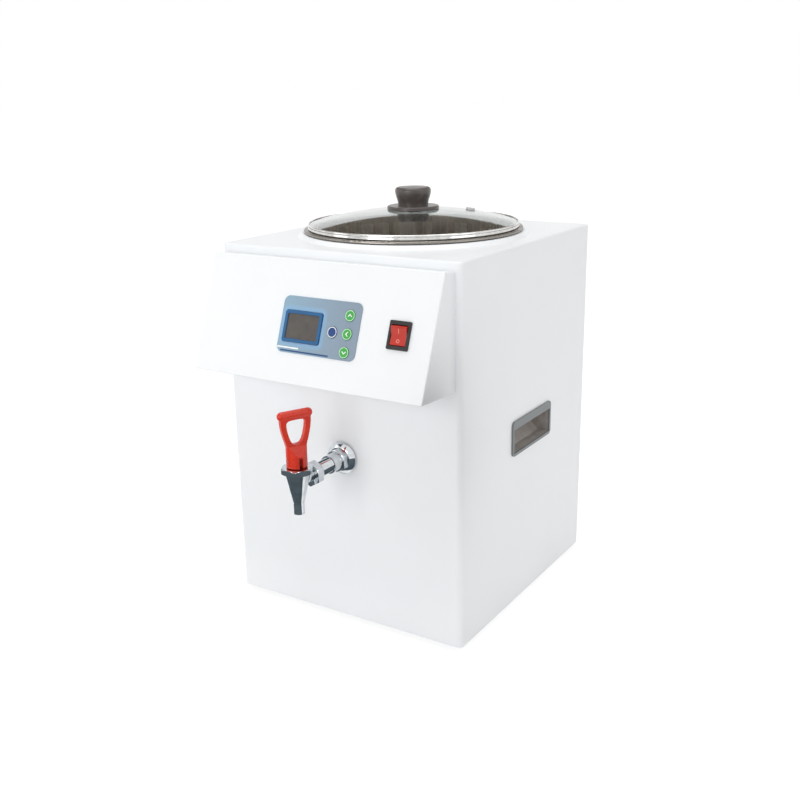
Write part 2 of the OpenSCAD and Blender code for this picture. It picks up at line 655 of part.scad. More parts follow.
module control_head() color("white") difference() {
  head_prism(head_w, 0);
  head_prism(head_w - 2*sheet, sheet);
  translate([-head_w/2 + head_flange, -body_d/2 - sheet - over, head_z + head_flange])
    cube([head_w - 2*head_flange, sheet + 2*over, head_h - 2*head_flange]);
  for (p = head_screw_places) translate([p[0], p[1] - sheet, p[2]]) rotate([90, 0, 0])
    cylinder(h = 3*sheet, r = screw_r + gap, center = true);
  on_slope(bezel_x, bezel_v, -sheet - over)
    slab(bezel_w - 2*bezel_neck_step + 2*gap, bezel_h - 2*bezel_neck_step + 2*gap, bezel_r, sheet + 2*over);
  for (p = key_places) on_slope(p[0], p[1], -sheet - over) cylinder(h = sheet + 2*over, r = key_r + gap);
  on_slope(switch_x, switch_v, -sheet - over)
    linear_extrude(sheet + 2*over) square([switch_body_w + 2*gap, switch_body_h + 2*gap], center = true);
}

module overlay_plate() color("lightsteelblue") difference() {
  on_slope(overlay_x, overlay_v) slab(overlay_w, overlay_h, overlay_r, overlay_t);
  on_slope(bezel_x, bezel_v, -over) slab(bezel_w + 2*gap, bezel_h + 2*gap, bezel_r, overlay_t + 2*over);
  for (p = key_places) on_slope(p[0], p[1], -over) cylinder(h = overlay_t + 2*over, r = key_r + gap);
}

module display_bezel() color("steelblue") on_slope(bezel_x, bezel_v) difference() {
  union() {
    slab(bezel_w, bezel_h, bezel_r, overlay_t + bezel_proud);
    translate([0, 0, -bezel_neck_depth])
      slab(bezel_w - 2*bezel_neck_step, bezel_h - 2*bezel_neck_step, bezel_r, bezel_neck_depth);
  }
  translate([0, 0, -bezel_neck_depth - over])
    slab(bezel_w - 2*bezel_rim, bezel_h - 2*bezel_rim, bezel_lip,
      bezel_neck_depth + overlay_t + bezel_proud + 2*over);
  translate([0, 0, -bezel_neck_depth - over])
    slab(screen_w + 2*gap, screen_h + 2*gap, bezel_lip, bezel_neck_depth + over + screen_top);
}

module display_screen() color("dimgray") on_slope(bezel_x, bezel_v, screen_top - screen_t)
  slab(screen_w, screen_h, bezel_lip, screen_t);

module display_module() color("darkgreen") on_slope(bezel_x, bezel_v, -board_back)
  linear_extrude(board_back + screen_top - screen_t)
    square([screen_w - 2*gap, screen_h - 2*gap], center = true);

module control_board() color("green") on_slope(board_x, board_v, -board_back - board_t)
  difference() {
    linear_extrude(board_t) square([board_w, board_h], center = true);
    for (p = board_post_places) translate([p[0], p[1], -over])
      cylinder(h = board_t + 2*over, r = board_post_r/2);
  }

module board_posts() color("silver") for (p = board_post_places)
  on_slope(board_x + p[0], board_v + p[1], -board_back) cylinder(h = board_back - sheet, r = board_post_r);

module key_switches() color("dimgray") for (p = key_places) on_slope(p[0], p[1], -board_back) {
  linear_extrude(tact_h) square(tact_w, center = true);
  translate([0, 0, tact_h]) cylinder(h = tact_plunger_h, r = tact_plunger_r);
}

module key_cap(i) on_slope(key_places[i][0], key_places[i][1]) rotate_extrude() polygon([
  [0, -key_stem_end], [key_stem_r, -key_stem_end], [key_stem_r, -key_back - key_flange_t],
  [key_flange_r, -key_back - key_flange_t], [key_flange_r, -key_back], [key_r, -key_back],
  [key_r, overlay_t + key_proud/2], [key_r - key_proud/2, overlay_t + key_proud], [0, overlay_t + key_proud]
]);

module key_set() color("navy") key_cap(0);
module key_up() color("mediumseagreen") key_cap(1);
module key_left() color("mediumseagreen") key_cap(2);
module key_down() color("mediumseagreen") key_cap(3);

// Power switch

module switch_housing() color("black") on_slope(switch_x, switch_v) difference() {
  union() {
    slab(switch_w, switch_h, trunnion_r, switch_frame_t);
    translate([0, 0, -switch_depth]) linear_extrude(switch_depth)
      square([switch_body_w, switch_body_h], center = true);
  }
  translate([0, 0, -switch_well]) linear_extrude(switch_well + switch_frame_t + over)
    square([switch_mouth_w, switch_mouth_h], center = true);
  translate([0, 0, rocker_pivot]) rotate([0, 90, 0])
    cylinder(h = rocker_w + 2*trunnion_l + 2*gap, r = trunnion_r + run_gap, center = true);
}

module switch_rocker() color("red") on_slope(switch_x, switch_v, rocker_pivot)
  rotate([rocker_swing/2, 0, 0]) {
  rotate([90, 0, 90]) linear_extrude(rocker_w, center = true) difference() {
    intersection() {
      circle(rocker_r);
      translate([-rocker_r, -rocker_floor]) square([2*rocker_r, rocker_floor + rocker_end_h]);
    }
    polygon([[-rocker_end, rocker_end_h], [0, rocker_end_h - rocker_dip], [rocker_end, rocker_end_h],
      [rocker_end, rocker_end_h + over], [-rocker_end, rocker_end_h + over]]);
  }
  rotate([0, 90, 0]) cylinder(h = rocker_w + 2*trunnion_l, r = trunnion_r, center = true);
}

module switch_terminals() color("gold") for (x = [-1, 1], y = [-1, 1])
  on_slope(switch_x + x*spade_pitch/2, switch_v + y*spade_pitch, -switch_depth - spade_l)
    translate([-spade_w/2, -spade_t/2, 0]) cube([spade_w, spade_t, spade_l]);

// Side grips

module grip_frame() translate([body_w/2, grip_y, grip_z]) rotate([90, 0, 90]) children();

module side_grip() grip_frame() difference() {
  union() {
    slab(grip_l, grip_h, grip_corner_r, grip_proud);
    translate([0, 0, -grip_depth]) slab(grip_cup_l, grip_cup_h, grip_cup_r, grip_depth);
  }
  rotate([90, 0, 90]) linear_extrude(grip_cup_l - 2*grip_wall, center = true) polygon([
    [grip_low, grip_proud + over], [grip_mouth, grip_proud + over], [grip_mouth, -grip_hood_t],
    [grip_roof, -grip_hood_t], [grip_roof, grip_wall - grip_depth],
    [grip_low + grip_floor_shares[1]*(grip_roof - grip_low), grip_wall - grip_depth],
    [grip_low, -grip_floor_shares[0]*grip_depth]
  ]);
}

module side_grip_right() color("dimgray") side_grip();
module side_grip_left() color("dimgray") mirror([1, 0, 0]) side_grip();

// Power inlet and the parts on the base plate

module inlet_mouth() polygon([
  [-inlet_mouth_w/2, inlet_mouth_h/2], [inlet_mouth_w/2, inlet_mouth_h/2],
  [inlet_mouth_w/2, inlet_chamfer - inlet_mouth_h/2], [inlet_mouth_w/2 - inlet_chamfer, -inlet_mouth_h/2],
  [inlet_chamfer - inlet_mouth_w/2, -inlet_mouth_h/2], [-inlet_mouth_w/2, inlet_chamfer - inlet_mouth_h/2]
]);

module power_inlet() color("black") on_back(inlet_x, inlet_z, sheet) difference() {
  union() {
    slab(inlet_w, inlet_h, inlet_r, inlet_t);
    translate([0, 0, -inlet_depth]) linear_extrude(inlet_depth)
      square([inlet_body_w, inlet_body_h], center = true);
  }
  translate([0, 0, -inlet_well]) linear_extrude(inlet_well + inlet_t + over) inlet_mouth();
  for (p = inlet_pin_places) translate([p[0], p[1], -inlet_depth - over])
    linear_extrude(inlet_depth) square([pin_t, pin_w], center = true);
  for (s = [-1, 1]) translate([s*inlet_screw_pitch/2, 0, -over])
    cylinder(h = inlet_t + 2*over, r = screw_r + gap);
}

module inlet_pins() color("silver") for (p = inlet_pin_places)
  on_back(inlet_x, inlet_z, sheet - inlet_depth - pin_tail) translate([p[0], p[1], 0])
    linear_extrude(inlet_depth + pin_tail - inlet_well + pin_l) square([pin_t, pin_w], center = true);

module power_supply() color("silver") translate([supply_x, supply_y, base_t]) difference() {
  translate([-supply_w/2, -supply_l/2, 0]) cube([supply_w, supply_l, supply_h]);
  for (i = [0 : supply_slots - 1])
    translate([-supply_w/4, (i - supply_slots/2)*supply_l/(supply_slots + 2), supply_h - base_t])
    cube([supply_w/2, supply_slot_w, supply_h]);
}

module solid_state_relay() color("ivory") translate([relay_x, relay_y, base_t]) difference() {
  union() {
    translate([-relay_w/2, -relay_l/2, 0]) cube([relay_w, relay_l, relay_h - relay_post_h]);
    for (x = [-1, 1], y = [-1, 1]) translate([x*relay_w/4, y*relay_l/3, 0])
      cylinder(h = relay_h, r = relay_post_r);
  }
  for (y = [-1, 1]) translate([0, y*relay_l/2, -over]) cylinder(h = relay_h + 2*over, r = relay_post_r);
}

module terminal_block() color("ivory") translate([block_x, block_y, base_t])
  for (i = [0 : block_n - 1]) translate([(i - (block_n - 1)/2)*block_pitch, 0, 0]) difference() {
    translate([-block_pitch/2, -block_d/2, 0]) cube([block_pitch, block_d, block_tall]);
    for (y = [-1, 1]) translate([0, y*block_d/4, block_tall/2]) cylinder(h = block_tall, r = block_screw_r);
    translate([0, 0, block_tall/4]) rotate([90, 0, 0])
      cylinder(h = block_d + 2*over, r = block_screw_r, center = true);
    translate([block_pitch/2 - gap, -block_d, block_tall*block_groove_share])
      cube([block_pitch, 2*block_d, block_tall]);
  }

// Tap: fixed parts

module chamfered_hex(af, t, chamfer) intersection() {
  hexagon(af, t);
  rotate_extrude() polygon([
    [0, 0], [af/2, 0], [af/2 + chamfer, chamfer*chamfer_share], [af/2 + chamfer, t - chamfer*chamfer_share],
    [af/2, t], [0, t]
  ]);
}

module nut(af, t, bore) difference() {
  chamfered_hex(af, t, af*corner_share);
  translate([0, 0, -over]) cylinder(h = t + 2*over, r = bore);
}

module tap_flange() color("silver") on_front(gasket_t) rotate_extrude() difference() {
  intersection() {
    translate([0, flange_dome_z]) circle(flange_dome_r);
    square([flange_r, flange_t]);
  }
  translate([0, -over]) square([shank_r + thread_gap, flange_t + 2*over]);
}

module shank_gaskets() color("red") {
  on_front(0) tube(gasket_r, shank_r + thread_gap, gasket_t);
  on_front(-sheet - gasket_t) tube(gasket_r, shank_r + thread_gap, gasket_t);
}

module shank_lock_nut() color("silver") on_front(-sheet - gasket_t - lock_t)
  nut(lock_af, lock_t, shank_r + thread_gap);
module shank_nut() color("silver") on_front(gasket_t + flange_t) nut(nut_af, nut_t, shank_r + thread_gap);
module shank_sleeve() color("silver") on_front(gasket_t + flange_t + nut_t)
  tube(sleeve_r, shank_r + thread_gap, sleeve_l);
module tap_shank() color("silver") on_front() rotate_extrude() polygon(concat(
  [[shank_bore_r, shank_out], [shank_bore_r, -shank_back], [shank_r, -shank_back], [shank_r, thread_start]],
  [for (i = [0 : thread_turns - 1], k = [0, 1])
    [shank_r - (1 - k)*thread_h, thread_start + (i + (k + 1)/2)*thread_pitch]],
  [[shank_r, shank_out]]
));

module union_nut() color("silver") on_front(union_start) difference() {
  chamfered_hex(union_af, union_t, union_af*corner_share);
  translate([0, 0, -over]) cylinder(h = union_t - union_lip + over, r = shank_r + thread_gap);
  cylinder(h = union_t + over, r = horn_r + gap);
}

module tap_body() color("silver") difference() {
  union() {
    on_tap() rotate_extrude() polygon([
      [0, spout_low], [spout_r, spout_low], [spout_r, taper_low], [taper_r, taper_top],
      [shoulder_r, bonnet_z], [0, bonnet_z]
    ]);
    on_tap(tap_z) rotate([-90, 0, 0]) cylinder(h = horn_l, r = horn_r);
    on_tap(tap_z) rotate([-90, 0, 0]) translate([0, 0, horn_l - horn_flange_t])
      cylinder(h = horn_flange_t, r = shank_r - gap);
  }
  on_tap() rotate_extrude() polygon([
    [0, spout_low - over], [spout_bore_r, spout_low - over], [spout_bore_r, seat_z], [seat_r,
      seat_z + seat_h],
    [chamber_r, thread_z], [thread_r, thread_z], [thread_r, bonnet_z + over], [0, bonnet_z + over]
  ]);
  on_tap(tap_z) rotate([-90, 0, 0]) cylinder(h = horn_l + over, r = horn_bore_r);
}

module tap_bonnet() color("silver") on_tap() difference() {
  union() {
    translate([0, 0, bonnet_z]) rotate([0, 0, 30])
      chamfered_hex(bonnet_af, bonnet_h, bonnet_af*corner_share);
    translate([0, 0, thread_z + gap]) cylinder(h = bonnet_z - thread_z, r = thread_r - thread_gap);
  }
  translate([0, 0, thread_z]) cylinder(h = pocket_roof - thread_z, r = bonnet_pocket_r);
  translate([0, 0, thread_z]) cylinder(h = bonnet_top - thread_z + over, r = bonnet_bore_r);
}

// Tap: moving parts

module spring_washer() color("silver") on_tap(pocket_roof - gap - washer_t)
  tube(washer_r, stem_r + gap, washer_t);

module seat_cup() color("ivory") on_tap() rotate_extrude() polygon([
  [0, seat_z + gap], [spout_bore_r - gap, seat_z + gap], [cup_r, seat_z + seat_h], [cup_r,
    cup_top - cup_flange_t],
  [cup_flange_r, cup_top - cup_flange_t], [cup_flange_r, cup_top], [stem_r + thread_gap, cup_top],
  [stem_r + thread_gap, cup_top - cup_hole], [0, cup_top - cup_hole]
]);

module valve_stem() color("silver") difference() {
  union() {
    on_tap(cup_top - cup_hole) cylinder(h = pin_z - cup_top + cup_hole, r = stem_r);
    on_tap(cup_top) cylinder(h = stem_collar_t, r = stem_collar_r);
    with_lever() translate([0, 0, pin_z]) rotate([0, 90, 0]) cylinder(h = eye_t, r = eye_r, center = true);
  }
  with_lever() translate([0, 0, pin_z]) rotate([0, 90, 0])
    cylinder(h = 4*eye_r, r = pin_r + run_gap, center = true);
}

function spring_ring(i) = [for (j = [0 : spring_sides - 1])
  let (a = 360*i/spring_steps, b = 360*j/spring_sides, r = spring_r + spring_wire_r*cos(b))
  [r*cos(a), r*sin(a), spring_low + (spring_high - spring_low)*i/spring_rings + spring_wire_r*sin(b)]];

module tap_spring() color("silver") on_tap() polyhedron(
  points = [for (i = [0 : spring_rings]) each spring_ring(i)],
  faces = concat(
    [[for (j = [0 : spring_sides - 1]) j]],
    [for (i = [0 : spring_rings - 1], j = [0 : spring_sides - 1])
      let (a = i*spring_sides, k = (j + 1) % spring_sides)
      [a + j, a + spring_sides + j, a + spring_sides + k, a + k]],
    [[for (j = [spring_sides - 1 : -1 : 0]) spring_rings*spring_sides + j]]
  )
);

module handle_pin() color("silver") with_lever() translate([0, 0, pin_z]) rotate([0, 90, 0])
  cylinder(h = 2*lever_neck_r*pin_share, r = pin_r, center = true);

module lever_leg(side) hull() {
  translate([side*lever_foot_x, 0, lever_leg_z]) sphere(lever_leg_r, $fn = 24);
  translate([side*(lever_bar_l/2 - lever_leg_r/2), 0, lever_bar_z]) sphere(lever_leg_r, $fn = 24);
}

// The round neck, narrowed by a slanted flat at its front and one at its back
module lever_neck() intersection() {
  rotate_extrude() polygon([
    [0, lever_foot], [lever_neck_r - lever_edge, lever_foot], [lever_neck_r, lever_foot + lever_edge],
    [lever_neck_r, lever_foot + lever_web_h], [0, lever_foot + lever_web_h]
  ]);
  rotate([90, 0, 90]) linear_extrude(2*lever_neck_r + 2*over, center = true) polygon([
    [-lever_neck_r - over, lever_foot - over],
    [-lever_neck_r - over, lever_foot + lever_flat_h - over*lever_flat_slope],
    [-lever_leg_r, lever_foot + lever_ridge_h], [lever_leg_r, lever_foot + lever_ridge_h],
    [lever_neck_r + over, lever_foot + lever_flat_h - over*lever_flat_slope],
    [lever_neck_r + over, lever_foot - over]
  ]);
}

module tap_handle() color("orangered") with_lever() difference() {
  union() {
    lever_neck();
    for (s = [-1, 1]) lever_leg(s);
    translate([0, 0, lever_bar_z]) rotate([0, 90, 0])
      cylinder(h = lever_bar_l, r = lever_bar_r, center = true);
    for (s = [-1, 1]) translate([s*lever_bar_l/2, 0, lever_bar_z]) sphere(lever_bar_r);
  }
  translate([-lever_slot/2, -lever_neck_r - over, lever_foot - over])
    cube([lever_slot, 2*lever_neck_r + 2*over, lever_slot_h + over]);
  translate([0, 0, pin_z]) rotate([0, 90, 0])
    cylinder(h = 2*lever_neck_r + 2*over, r = pin_r + run_gap, center = true);
}

// Lid

module on_dome(turn, off) translate([0, 0, glass_top - dome_r]) rotate([0, asin(off/dome_r), turn])
  translate([0, 0, dome_r]) children();

module lid_glass() color("lightblue", 0.4) difference() {
  rotate_extrude() intersection() {
    translate([0, glass_top - dome_r]) difference() { circle(dome_r); circle(dome_r - glass_t); }
    translate([knob_hole_r, glass_z - glass_t]) square([glass_r - knob_hole_r, glass_top]);
  }
  on_dome(vent_turn, vent_off) translate([0, 0, -2*glass_t]) cylinder(h = 3*glass_t, r = vent_neck_r + gap);
}

module lid_band() color("silver") rotate_extrude() polygon([
  [lid_r - band_in, lid_z], [lid_r, lid_z], [lid_r, lid_z + band_h], [lid_r - band_lip, lid_z + band_h],
  [lid_r - band_lip, lid_z + band_h - band_t], [lid_r - band_t, lid_z + band_h - band_t],
  [lid_r - band_t, lid_z + band_t], [lid_r - band_in, lid_z + band_t]
]);

module lid_knob() color("#3b3635") difference() {
  rotate_extrude() {
    polygon(concat([[0, glass_top - knob_flange_t]], [[knob_neck_r, glass_top - knob_flange_t]],
      knob_curve, knob_edge, [[0, glass_top + knob_h]]));
    translate([0, glass_top - knob_flange_t]) square([knob_flange_r - knob_flange_t/2, 2*knob_flange_t]);
    translate([knob_flange_r - knob_flange_t/2, glass_top - knob_flange_t])
      square([knob_flange_t/2, 3*knob_flange_t/2]);
    translate([knob_flange_r - knob_flange_t/2, glass_top + knob_flange_t/2]) circle(knob_flange_t/2);
  }
  translate([0, 0, glass_top - dome_r]) sphere(dome_r + knob_seat, $fn = 360);
  translate([0, 0, glass_top - over]) cylinder(h = knob_bore_depth + over, r = knob_screw_r + thread_gap);
}

module knob_screw() color("dimgray") {
  translate([0, 0, glass_top - glass_t - knob_screw_head_h - knob_seat])
    cylinder(h = knob_screw_head_h, r = knob_screw_head_r);
  translate([0, 0, glass_top - glass_t - knob_seat - knob_screw_head_h/2])
    cylinder(h = glass_t + knob_bore_depth, r = knob_screw_r);
}

module vent_grommet() color("dimgray") on_dome(vent_turn, vent_off) difference() {
  union() {
    translate([0, 0, knob_seat]) cylinder(h = vent_h, r = vent_r);
    translate([0, 0, -glass_t - 2*knob_seat]) cylinder(h = glass_t + vent_h, r = vent_neck_r);
    translate([0, 0, -glass_t - knob_seat - vent_h]) cylinder(h = vent_h, r = vent_r);
  }
  translate([0, 0, -2*glass_t - vent_h]) cylinder(h = 4*glass_t + vent_h, r = vent_hole_r);
}

cabinet_wrap();
top_panel();
rear_panel();
base_plate();
feet();
cabinet_screws();
wax_tank();
tank_shelf();
tank_posts();
base_heater();
heater_band();
insulation_jacket();
temperature_probe();
thermal_cutout();
tank_outlet();
tap_heater_block();
tap_heater_cartridge();
control_head();
overlay_plate();
display_bezel();
display_screen();
display_module();
control_board();
board_posts();
key_switches();
key_set();
key_up();
key_left();
key_down();
switch_housing();
switch_rocker();
switch_terminals();
side_grip_left();
side_grip_right();
power_inlet();
inlet_pins();
power_supply();
solid_state_relay();
terminal_block();
tap_flange();
shank_gaskets();
shank_lock_nut();
shank_nut();
shank_sleeve();
tap_shank();
union_nut();
tap_body();
tap_bonnet();
spring_washer();
valve_stem();
seat_cup();
tap_spring();
handle_pin();
tap_handle();
lid_glass();
lid_band();
lid_knob();
knob_screw();
vent_grommet();
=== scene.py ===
"""Paraffin dispenser: finishes, fine pieces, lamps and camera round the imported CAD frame."""
import json
import math

import bmesh
import bpy
from bpy.props import FloatProperty, FloatVectorProperty, PointerProperty
from mathutils import Matrix, Vector


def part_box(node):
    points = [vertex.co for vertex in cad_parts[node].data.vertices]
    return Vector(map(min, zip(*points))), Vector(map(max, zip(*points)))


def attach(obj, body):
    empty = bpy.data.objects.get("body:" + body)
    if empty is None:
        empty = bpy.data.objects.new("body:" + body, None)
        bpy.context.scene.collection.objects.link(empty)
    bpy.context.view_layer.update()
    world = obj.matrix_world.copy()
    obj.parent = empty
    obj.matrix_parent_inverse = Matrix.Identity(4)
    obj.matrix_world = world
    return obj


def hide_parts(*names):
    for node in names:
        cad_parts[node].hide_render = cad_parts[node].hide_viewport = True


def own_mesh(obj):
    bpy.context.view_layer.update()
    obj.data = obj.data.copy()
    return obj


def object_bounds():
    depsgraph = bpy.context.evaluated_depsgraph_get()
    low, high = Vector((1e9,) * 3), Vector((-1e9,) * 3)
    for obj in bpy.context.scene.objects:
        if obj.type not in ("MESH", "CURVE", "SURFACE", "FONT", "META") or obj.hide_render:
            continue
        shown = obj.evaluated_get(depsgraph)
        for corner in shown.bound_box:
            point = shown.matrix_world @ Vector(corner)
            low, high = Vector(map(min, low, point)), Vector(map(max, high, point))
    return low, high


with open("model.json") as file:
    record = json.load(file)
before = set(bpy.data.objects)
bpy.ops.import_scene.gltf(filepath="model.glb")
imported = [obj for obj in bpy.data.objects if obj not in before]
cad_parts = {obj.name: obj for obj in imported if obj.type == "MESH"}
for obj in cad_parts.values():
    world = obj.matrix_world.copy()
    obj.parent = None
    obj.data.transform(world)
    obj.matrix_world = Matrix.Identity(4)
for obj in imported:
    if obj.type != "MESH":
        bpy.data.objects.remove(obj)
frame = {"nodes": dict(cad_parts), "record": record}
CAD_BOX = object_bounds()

bl_info = {
    "name": "Paraffin dispenser",
    "version": (1, 0, 0),
    "blender": (4, 5, 0),
    "location": "View3D > Sidebar > Dispenser",
    "description": "Dresses a bench wax dispenser round its CAD frame",
    "category": "Object",
}

MM = 0.001

# Places that the CAD source gives, in its own frame
BONNET_LOW, BONNET_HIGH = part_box("tap_bonnet")
TAP_X = (BONNET_LOW.x + BONNET_HIGH.x) / 2
TAP_Y = (BONNET_LOW.y + BONNET_HIGH.y) / 2
LEVER_TURN = math.radians(64)        # turn of the lever about the bonnet's axis
HEAD_LOW, HEAD_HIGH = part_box("control_head")
HEAD_RISE = 3 * MM                   # height of the sloped face's lower edge above the head's foot
HEAD_TOP_D = 18 * MM                 # depth of the head's flat top
HEAD_EDGE = Vector((0, HEAD_LOW.y, HEAD_LOW.z + HEAD_RISE))
TILT = math.atan2(HEAD_HIGH.y - HEAD_TOP_D - HEAD_LOW.y, HEAD_HIGH.z - HEAD_EDGE.z)
SLOPE_UP = Vector((0, math.sin(TILT), math.cos(TILT)))
SLOPE_OUT = Vector((0, -math.cos(TILT), math.sin(TILT)))
FRAME_X, FRAME_V = -9.35, 59.4       # centre of the display's frame on the slope, in millimetres
FRAME_W, FRAME_H, FRAME_R = 46.5, 33.0, 3.0
GRIP_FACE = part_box("side_grip_right")[1].x
POT_FLOOR, POT_RIM = (corner.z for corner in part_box("wax_tank"))


def linear(code):
    """Turns an sRGB hex value into linear red, green and blue."""
    parts = [int(code[i:i + 2], 16) / 255 for i in (1, 3, 5)]
    return tuple(p / 12.92 if p <= 0.04045 else ((p + 0.055) / 1.055) ** 2.4 for p in parts)


def rgba(colour):
    return (*colour, 1.0)


def colour_prop(name, code, description):
    return FloatVectorProperty(name=name, description=description, subtype="COLOR", size=3,
                               min=0, max=1, default=linear(code))


class DispenserColours(bpy.types.PropertyGroup):
    """Colours that a user would change"""
    paint: colour_prop("Paint", "#F1F3F5", "Powder coat on the cabinet and the control head")
    lever: colour_prop("Lever", "#D22B08", "Moulded lever of the tap")
    rocker: colour_prop("Rocker", "#BE230B", "Rocker of the power switch")
    grips: colour_prop("Grips", "#717678", "Recessed side grips")
    knob: colour_prop("Knob", "#4A4340", "Knob on the lid")
    film_left: colour_prop("Film, left", "#85A5BA", "Keypad film at its left end")
    film_right: colour_prop("Film, right", "#8092A4", "Keypad film at its right end")
    keys: colour_prop("Keys", "#3FA447", "Arrow keys")
    set_key: colour_prop("Set key", "#0E3C7C", "Key beside the display")


class DispenserSizes(bpy.types.PropertyGroup):
    """Sizes that a user would change"""
    edge: FloatProperty(name="Sheet edge", description="Radius of the folded edges of the control head",
                        default=1.4 * MM, min=0.2 * MM, max=3 * MM, unit="LENGTH", subtype="DISTANCE")
    rim: FloatProperty(name="Key ring", description="Width of the printed ring on a key",
                       default=0.75 * MM, min=0.3 * MM, max=1.5 * MM, unit="LENGTH", subtype="DISTANCE")
    mark: FloatProperty(name="Mark", description="Width of the strokes of the printed marks",
                        default=0.95 * MM, min=0.3 * MM, max=1.5 * MM, unit="LENGTH", subtype="DISTANCE")


# Materials

CLOUD_LOW, CLOUD_HIGH = 0.3, 0.7     # range that a cloudy pattern's value mostly stays in


def add(tree, kind, sockets=None, **fields):
    """Adds a node with its own settings and with its inputs' values or links."""
    node = tree.nodes.new(kind)
    for name, value in fields.items():
        setattr(node, name, value)
    for name, value in (sockets or {}).items():
        if isinstance(value, bpy.types.NodeSocket):
            tree.links.new(value, node.inputs[name])
        else:
            node.inputs[name].default_value = value
    return node


def surface(name, sockets):
    """Starts a material with one shader; returns the material, its tree and the shader."""
    material = bpy.data.materials.new(name)
    material.use_nodes = True
    tree = material.node_tree
    tree.nodes.clear()
    shader = add(tree, "ShaderNodeBsdfPrincipled", sockets)
    add(tree, "ShaderNodeOutputMaterial", {"Surface": shader.outputs[0]})
    return material, tree, shader


def pattern(tree, size, stretch=(1, 1, 1), detail=3.0):
    """A cloudy pattern whose grain has the given size in metres, longer where stretch is small."""
    place = add(tree, "ShaderNodeTexCoord")
    turned = add(tree, "ShaderNodeMapping", {"Vector": place.outputs["Object"], "Scale": stretch})
    cloudy = {"Vector": turned.outputs[0], "Scale": 1 / size, "Detail": detail}
    return add(tree, "ShaderNodeTexNoise", cloudy).outputs[0]


def tint(tree, factor, low, high, start=CLOUD_LOW, end=CLOUD_HIGH):
    """Turns a factor into a colour that runs from low to high."""
    share = add(tree, "ShaderNodeMapRange", {0: factor, 1: start, 2: end}).outputs[0]
    return add(tree, "ShaderNodeMix", {0: share, 6: rgba(low), 7: rgba(high)}, data_type="RGBA").outputs[2]


def scaled(colour, share):
    return tuple(min(1.0, c * share) for c in colour)


def roughen(tree, shader, factor, smooth, rough):
    """Lets a pattern vary the roughness from smooth to rough."""
    limits = {0: factor, 1: CLOUD_LOW, 2: CLOUD_HIGH, 3: smooth, 4: rough}
    tree.links.new(add(tree, "ShaderNodeMapRange", limits).outputs[0], shader.inputs["Roughness"])


def relief(tree, shader, height, depth, strength):
    """Lets a pattern raise and lower the surface by a depth in metres."""
    bump = add(tree, "ShaderNodeBump", {"Height": height, "Distance": depth, "Strength": strength})
    tree.links.new(bump.outputs[0], shader.inputs["Normal"])


def powder_coat(name, colour):
    # Epoxy-polyester powder baked on steel: near-white, with a fine orange-peel that softens highlights
    material, tree, shader = surface(name, {"IOR": 1.5, "Coat Weight": 0.15, "Coat Roughness": 0.25})
    peel = pattern(tree, 1.6 * MM, detail=2.0)
    cloud = pattern(tree, 90 * MM)
    tree.links.new(tint(tree, cloud, scaled(colour, 0.985), colour), shader.inputs["Base Color"])
    roughen(tree, shader, peel, 0.34, 0.46)
    relief(tree, shader, peel, 0.05 * MM, 0.35)
    return material


def moulded(name, colour, roughness, grain=0.6 * MM, depth=0.03 * MM, coat=0.0):
    # Injection-moulded plastic or rubber: even colour with a fine eroded grain from the mould.
    # The real grain of about 0.1 mm is drawn at 0.6 mm or more, so that it shows.
    material, tree, shader = surface(name, {"IOR": 1.5, "Coat Weight": coat, "Coat Roughness": 0.08})
    fine = pattern(tree, grain, detail=2.0)
    cloud = pattern(tree, 12 * MM)
    tree.links.new(tint(tree, cloud, scaled(colour, 0.94), scaled(colour, 1.06)), shader.inputs["Base Color"])
    roughen(tree, shader, fine, roughness * 0.85, roughness * 1.15)
    relief(tree, shader, fine, depth, 0.5)
    return material


def recess(name, colour):
    # Moulded ABS cup: satin grey rim, and an inside painted lighter and warmer than the rim, with a soft mottle:
    # painted light that lifts the shade inside the cup
    material, tree, shader = surface(name, {"IOR": 1.5})
    place = add(tree, "ShaderNodeTexCoord").outputs["Object"]
    across = add(tree, "ShaderNodeSeparateXYZ", {0: place}).outputs[0]
    out = add(tree, "ShaderNodeMath", {0: across}, operation="ABSOLUTE").outputs[0]
    depth = {0: out, 1: GRIP_FACE - 3 * MM, 2: GRIP_FACE - 1 * MM, 3: 1.0, 4: 0.0}
    inside = add(tree, "ShaderNodeMapRange", depth).outputs[0]
    # Painted light: the inside's lighter, warmer colour stands in for light reaching into the cup
    painted_light_inside = tint(tree, pattern(tree, 9 * MM, detail=4.0), linear("#9F9994"), linear("#B9B3AE"))
    mixed = add(tree, "ShaderNodeMix", {0: inside, 6: rgba(colour), 7: painted_light_inside}, data_type="RGBA")
    tree.links.new(mixed.outputs[2], shader.inputs["Base Color"])
    grain = pattern(tree, 0.8 * MM)
    roughen(tree, shader, grain, 0.28, 0.4)
    relief(tree, shader, grain, 0.05 * MM, 0.5)
    return material


def brushed(name, low, high):
    # Stainless sheet, brushed: streaks along its grain smear reflections. The real scratches of about
    # 0.05 mm are drawn 1.2 mm wide, so that they show.
    material, tree, shader = surface(name, {"Metallic": 1.0})
    streak = pattern(tree, 1.2 * MM, (1, 1, 0.03), 4.0)
    cloud = pattern(tree, 30 * MM, (1, 1, 0.15))
    tree.links.new(tint(tree, streak, linear(low), linear(high)), shader.inputs["Base Color"])
    roughen(tree, shader, cloud, 0.2, 0.34)
    relief(tree, shader, streak, 0.01 * MM, 0.4)
    return material


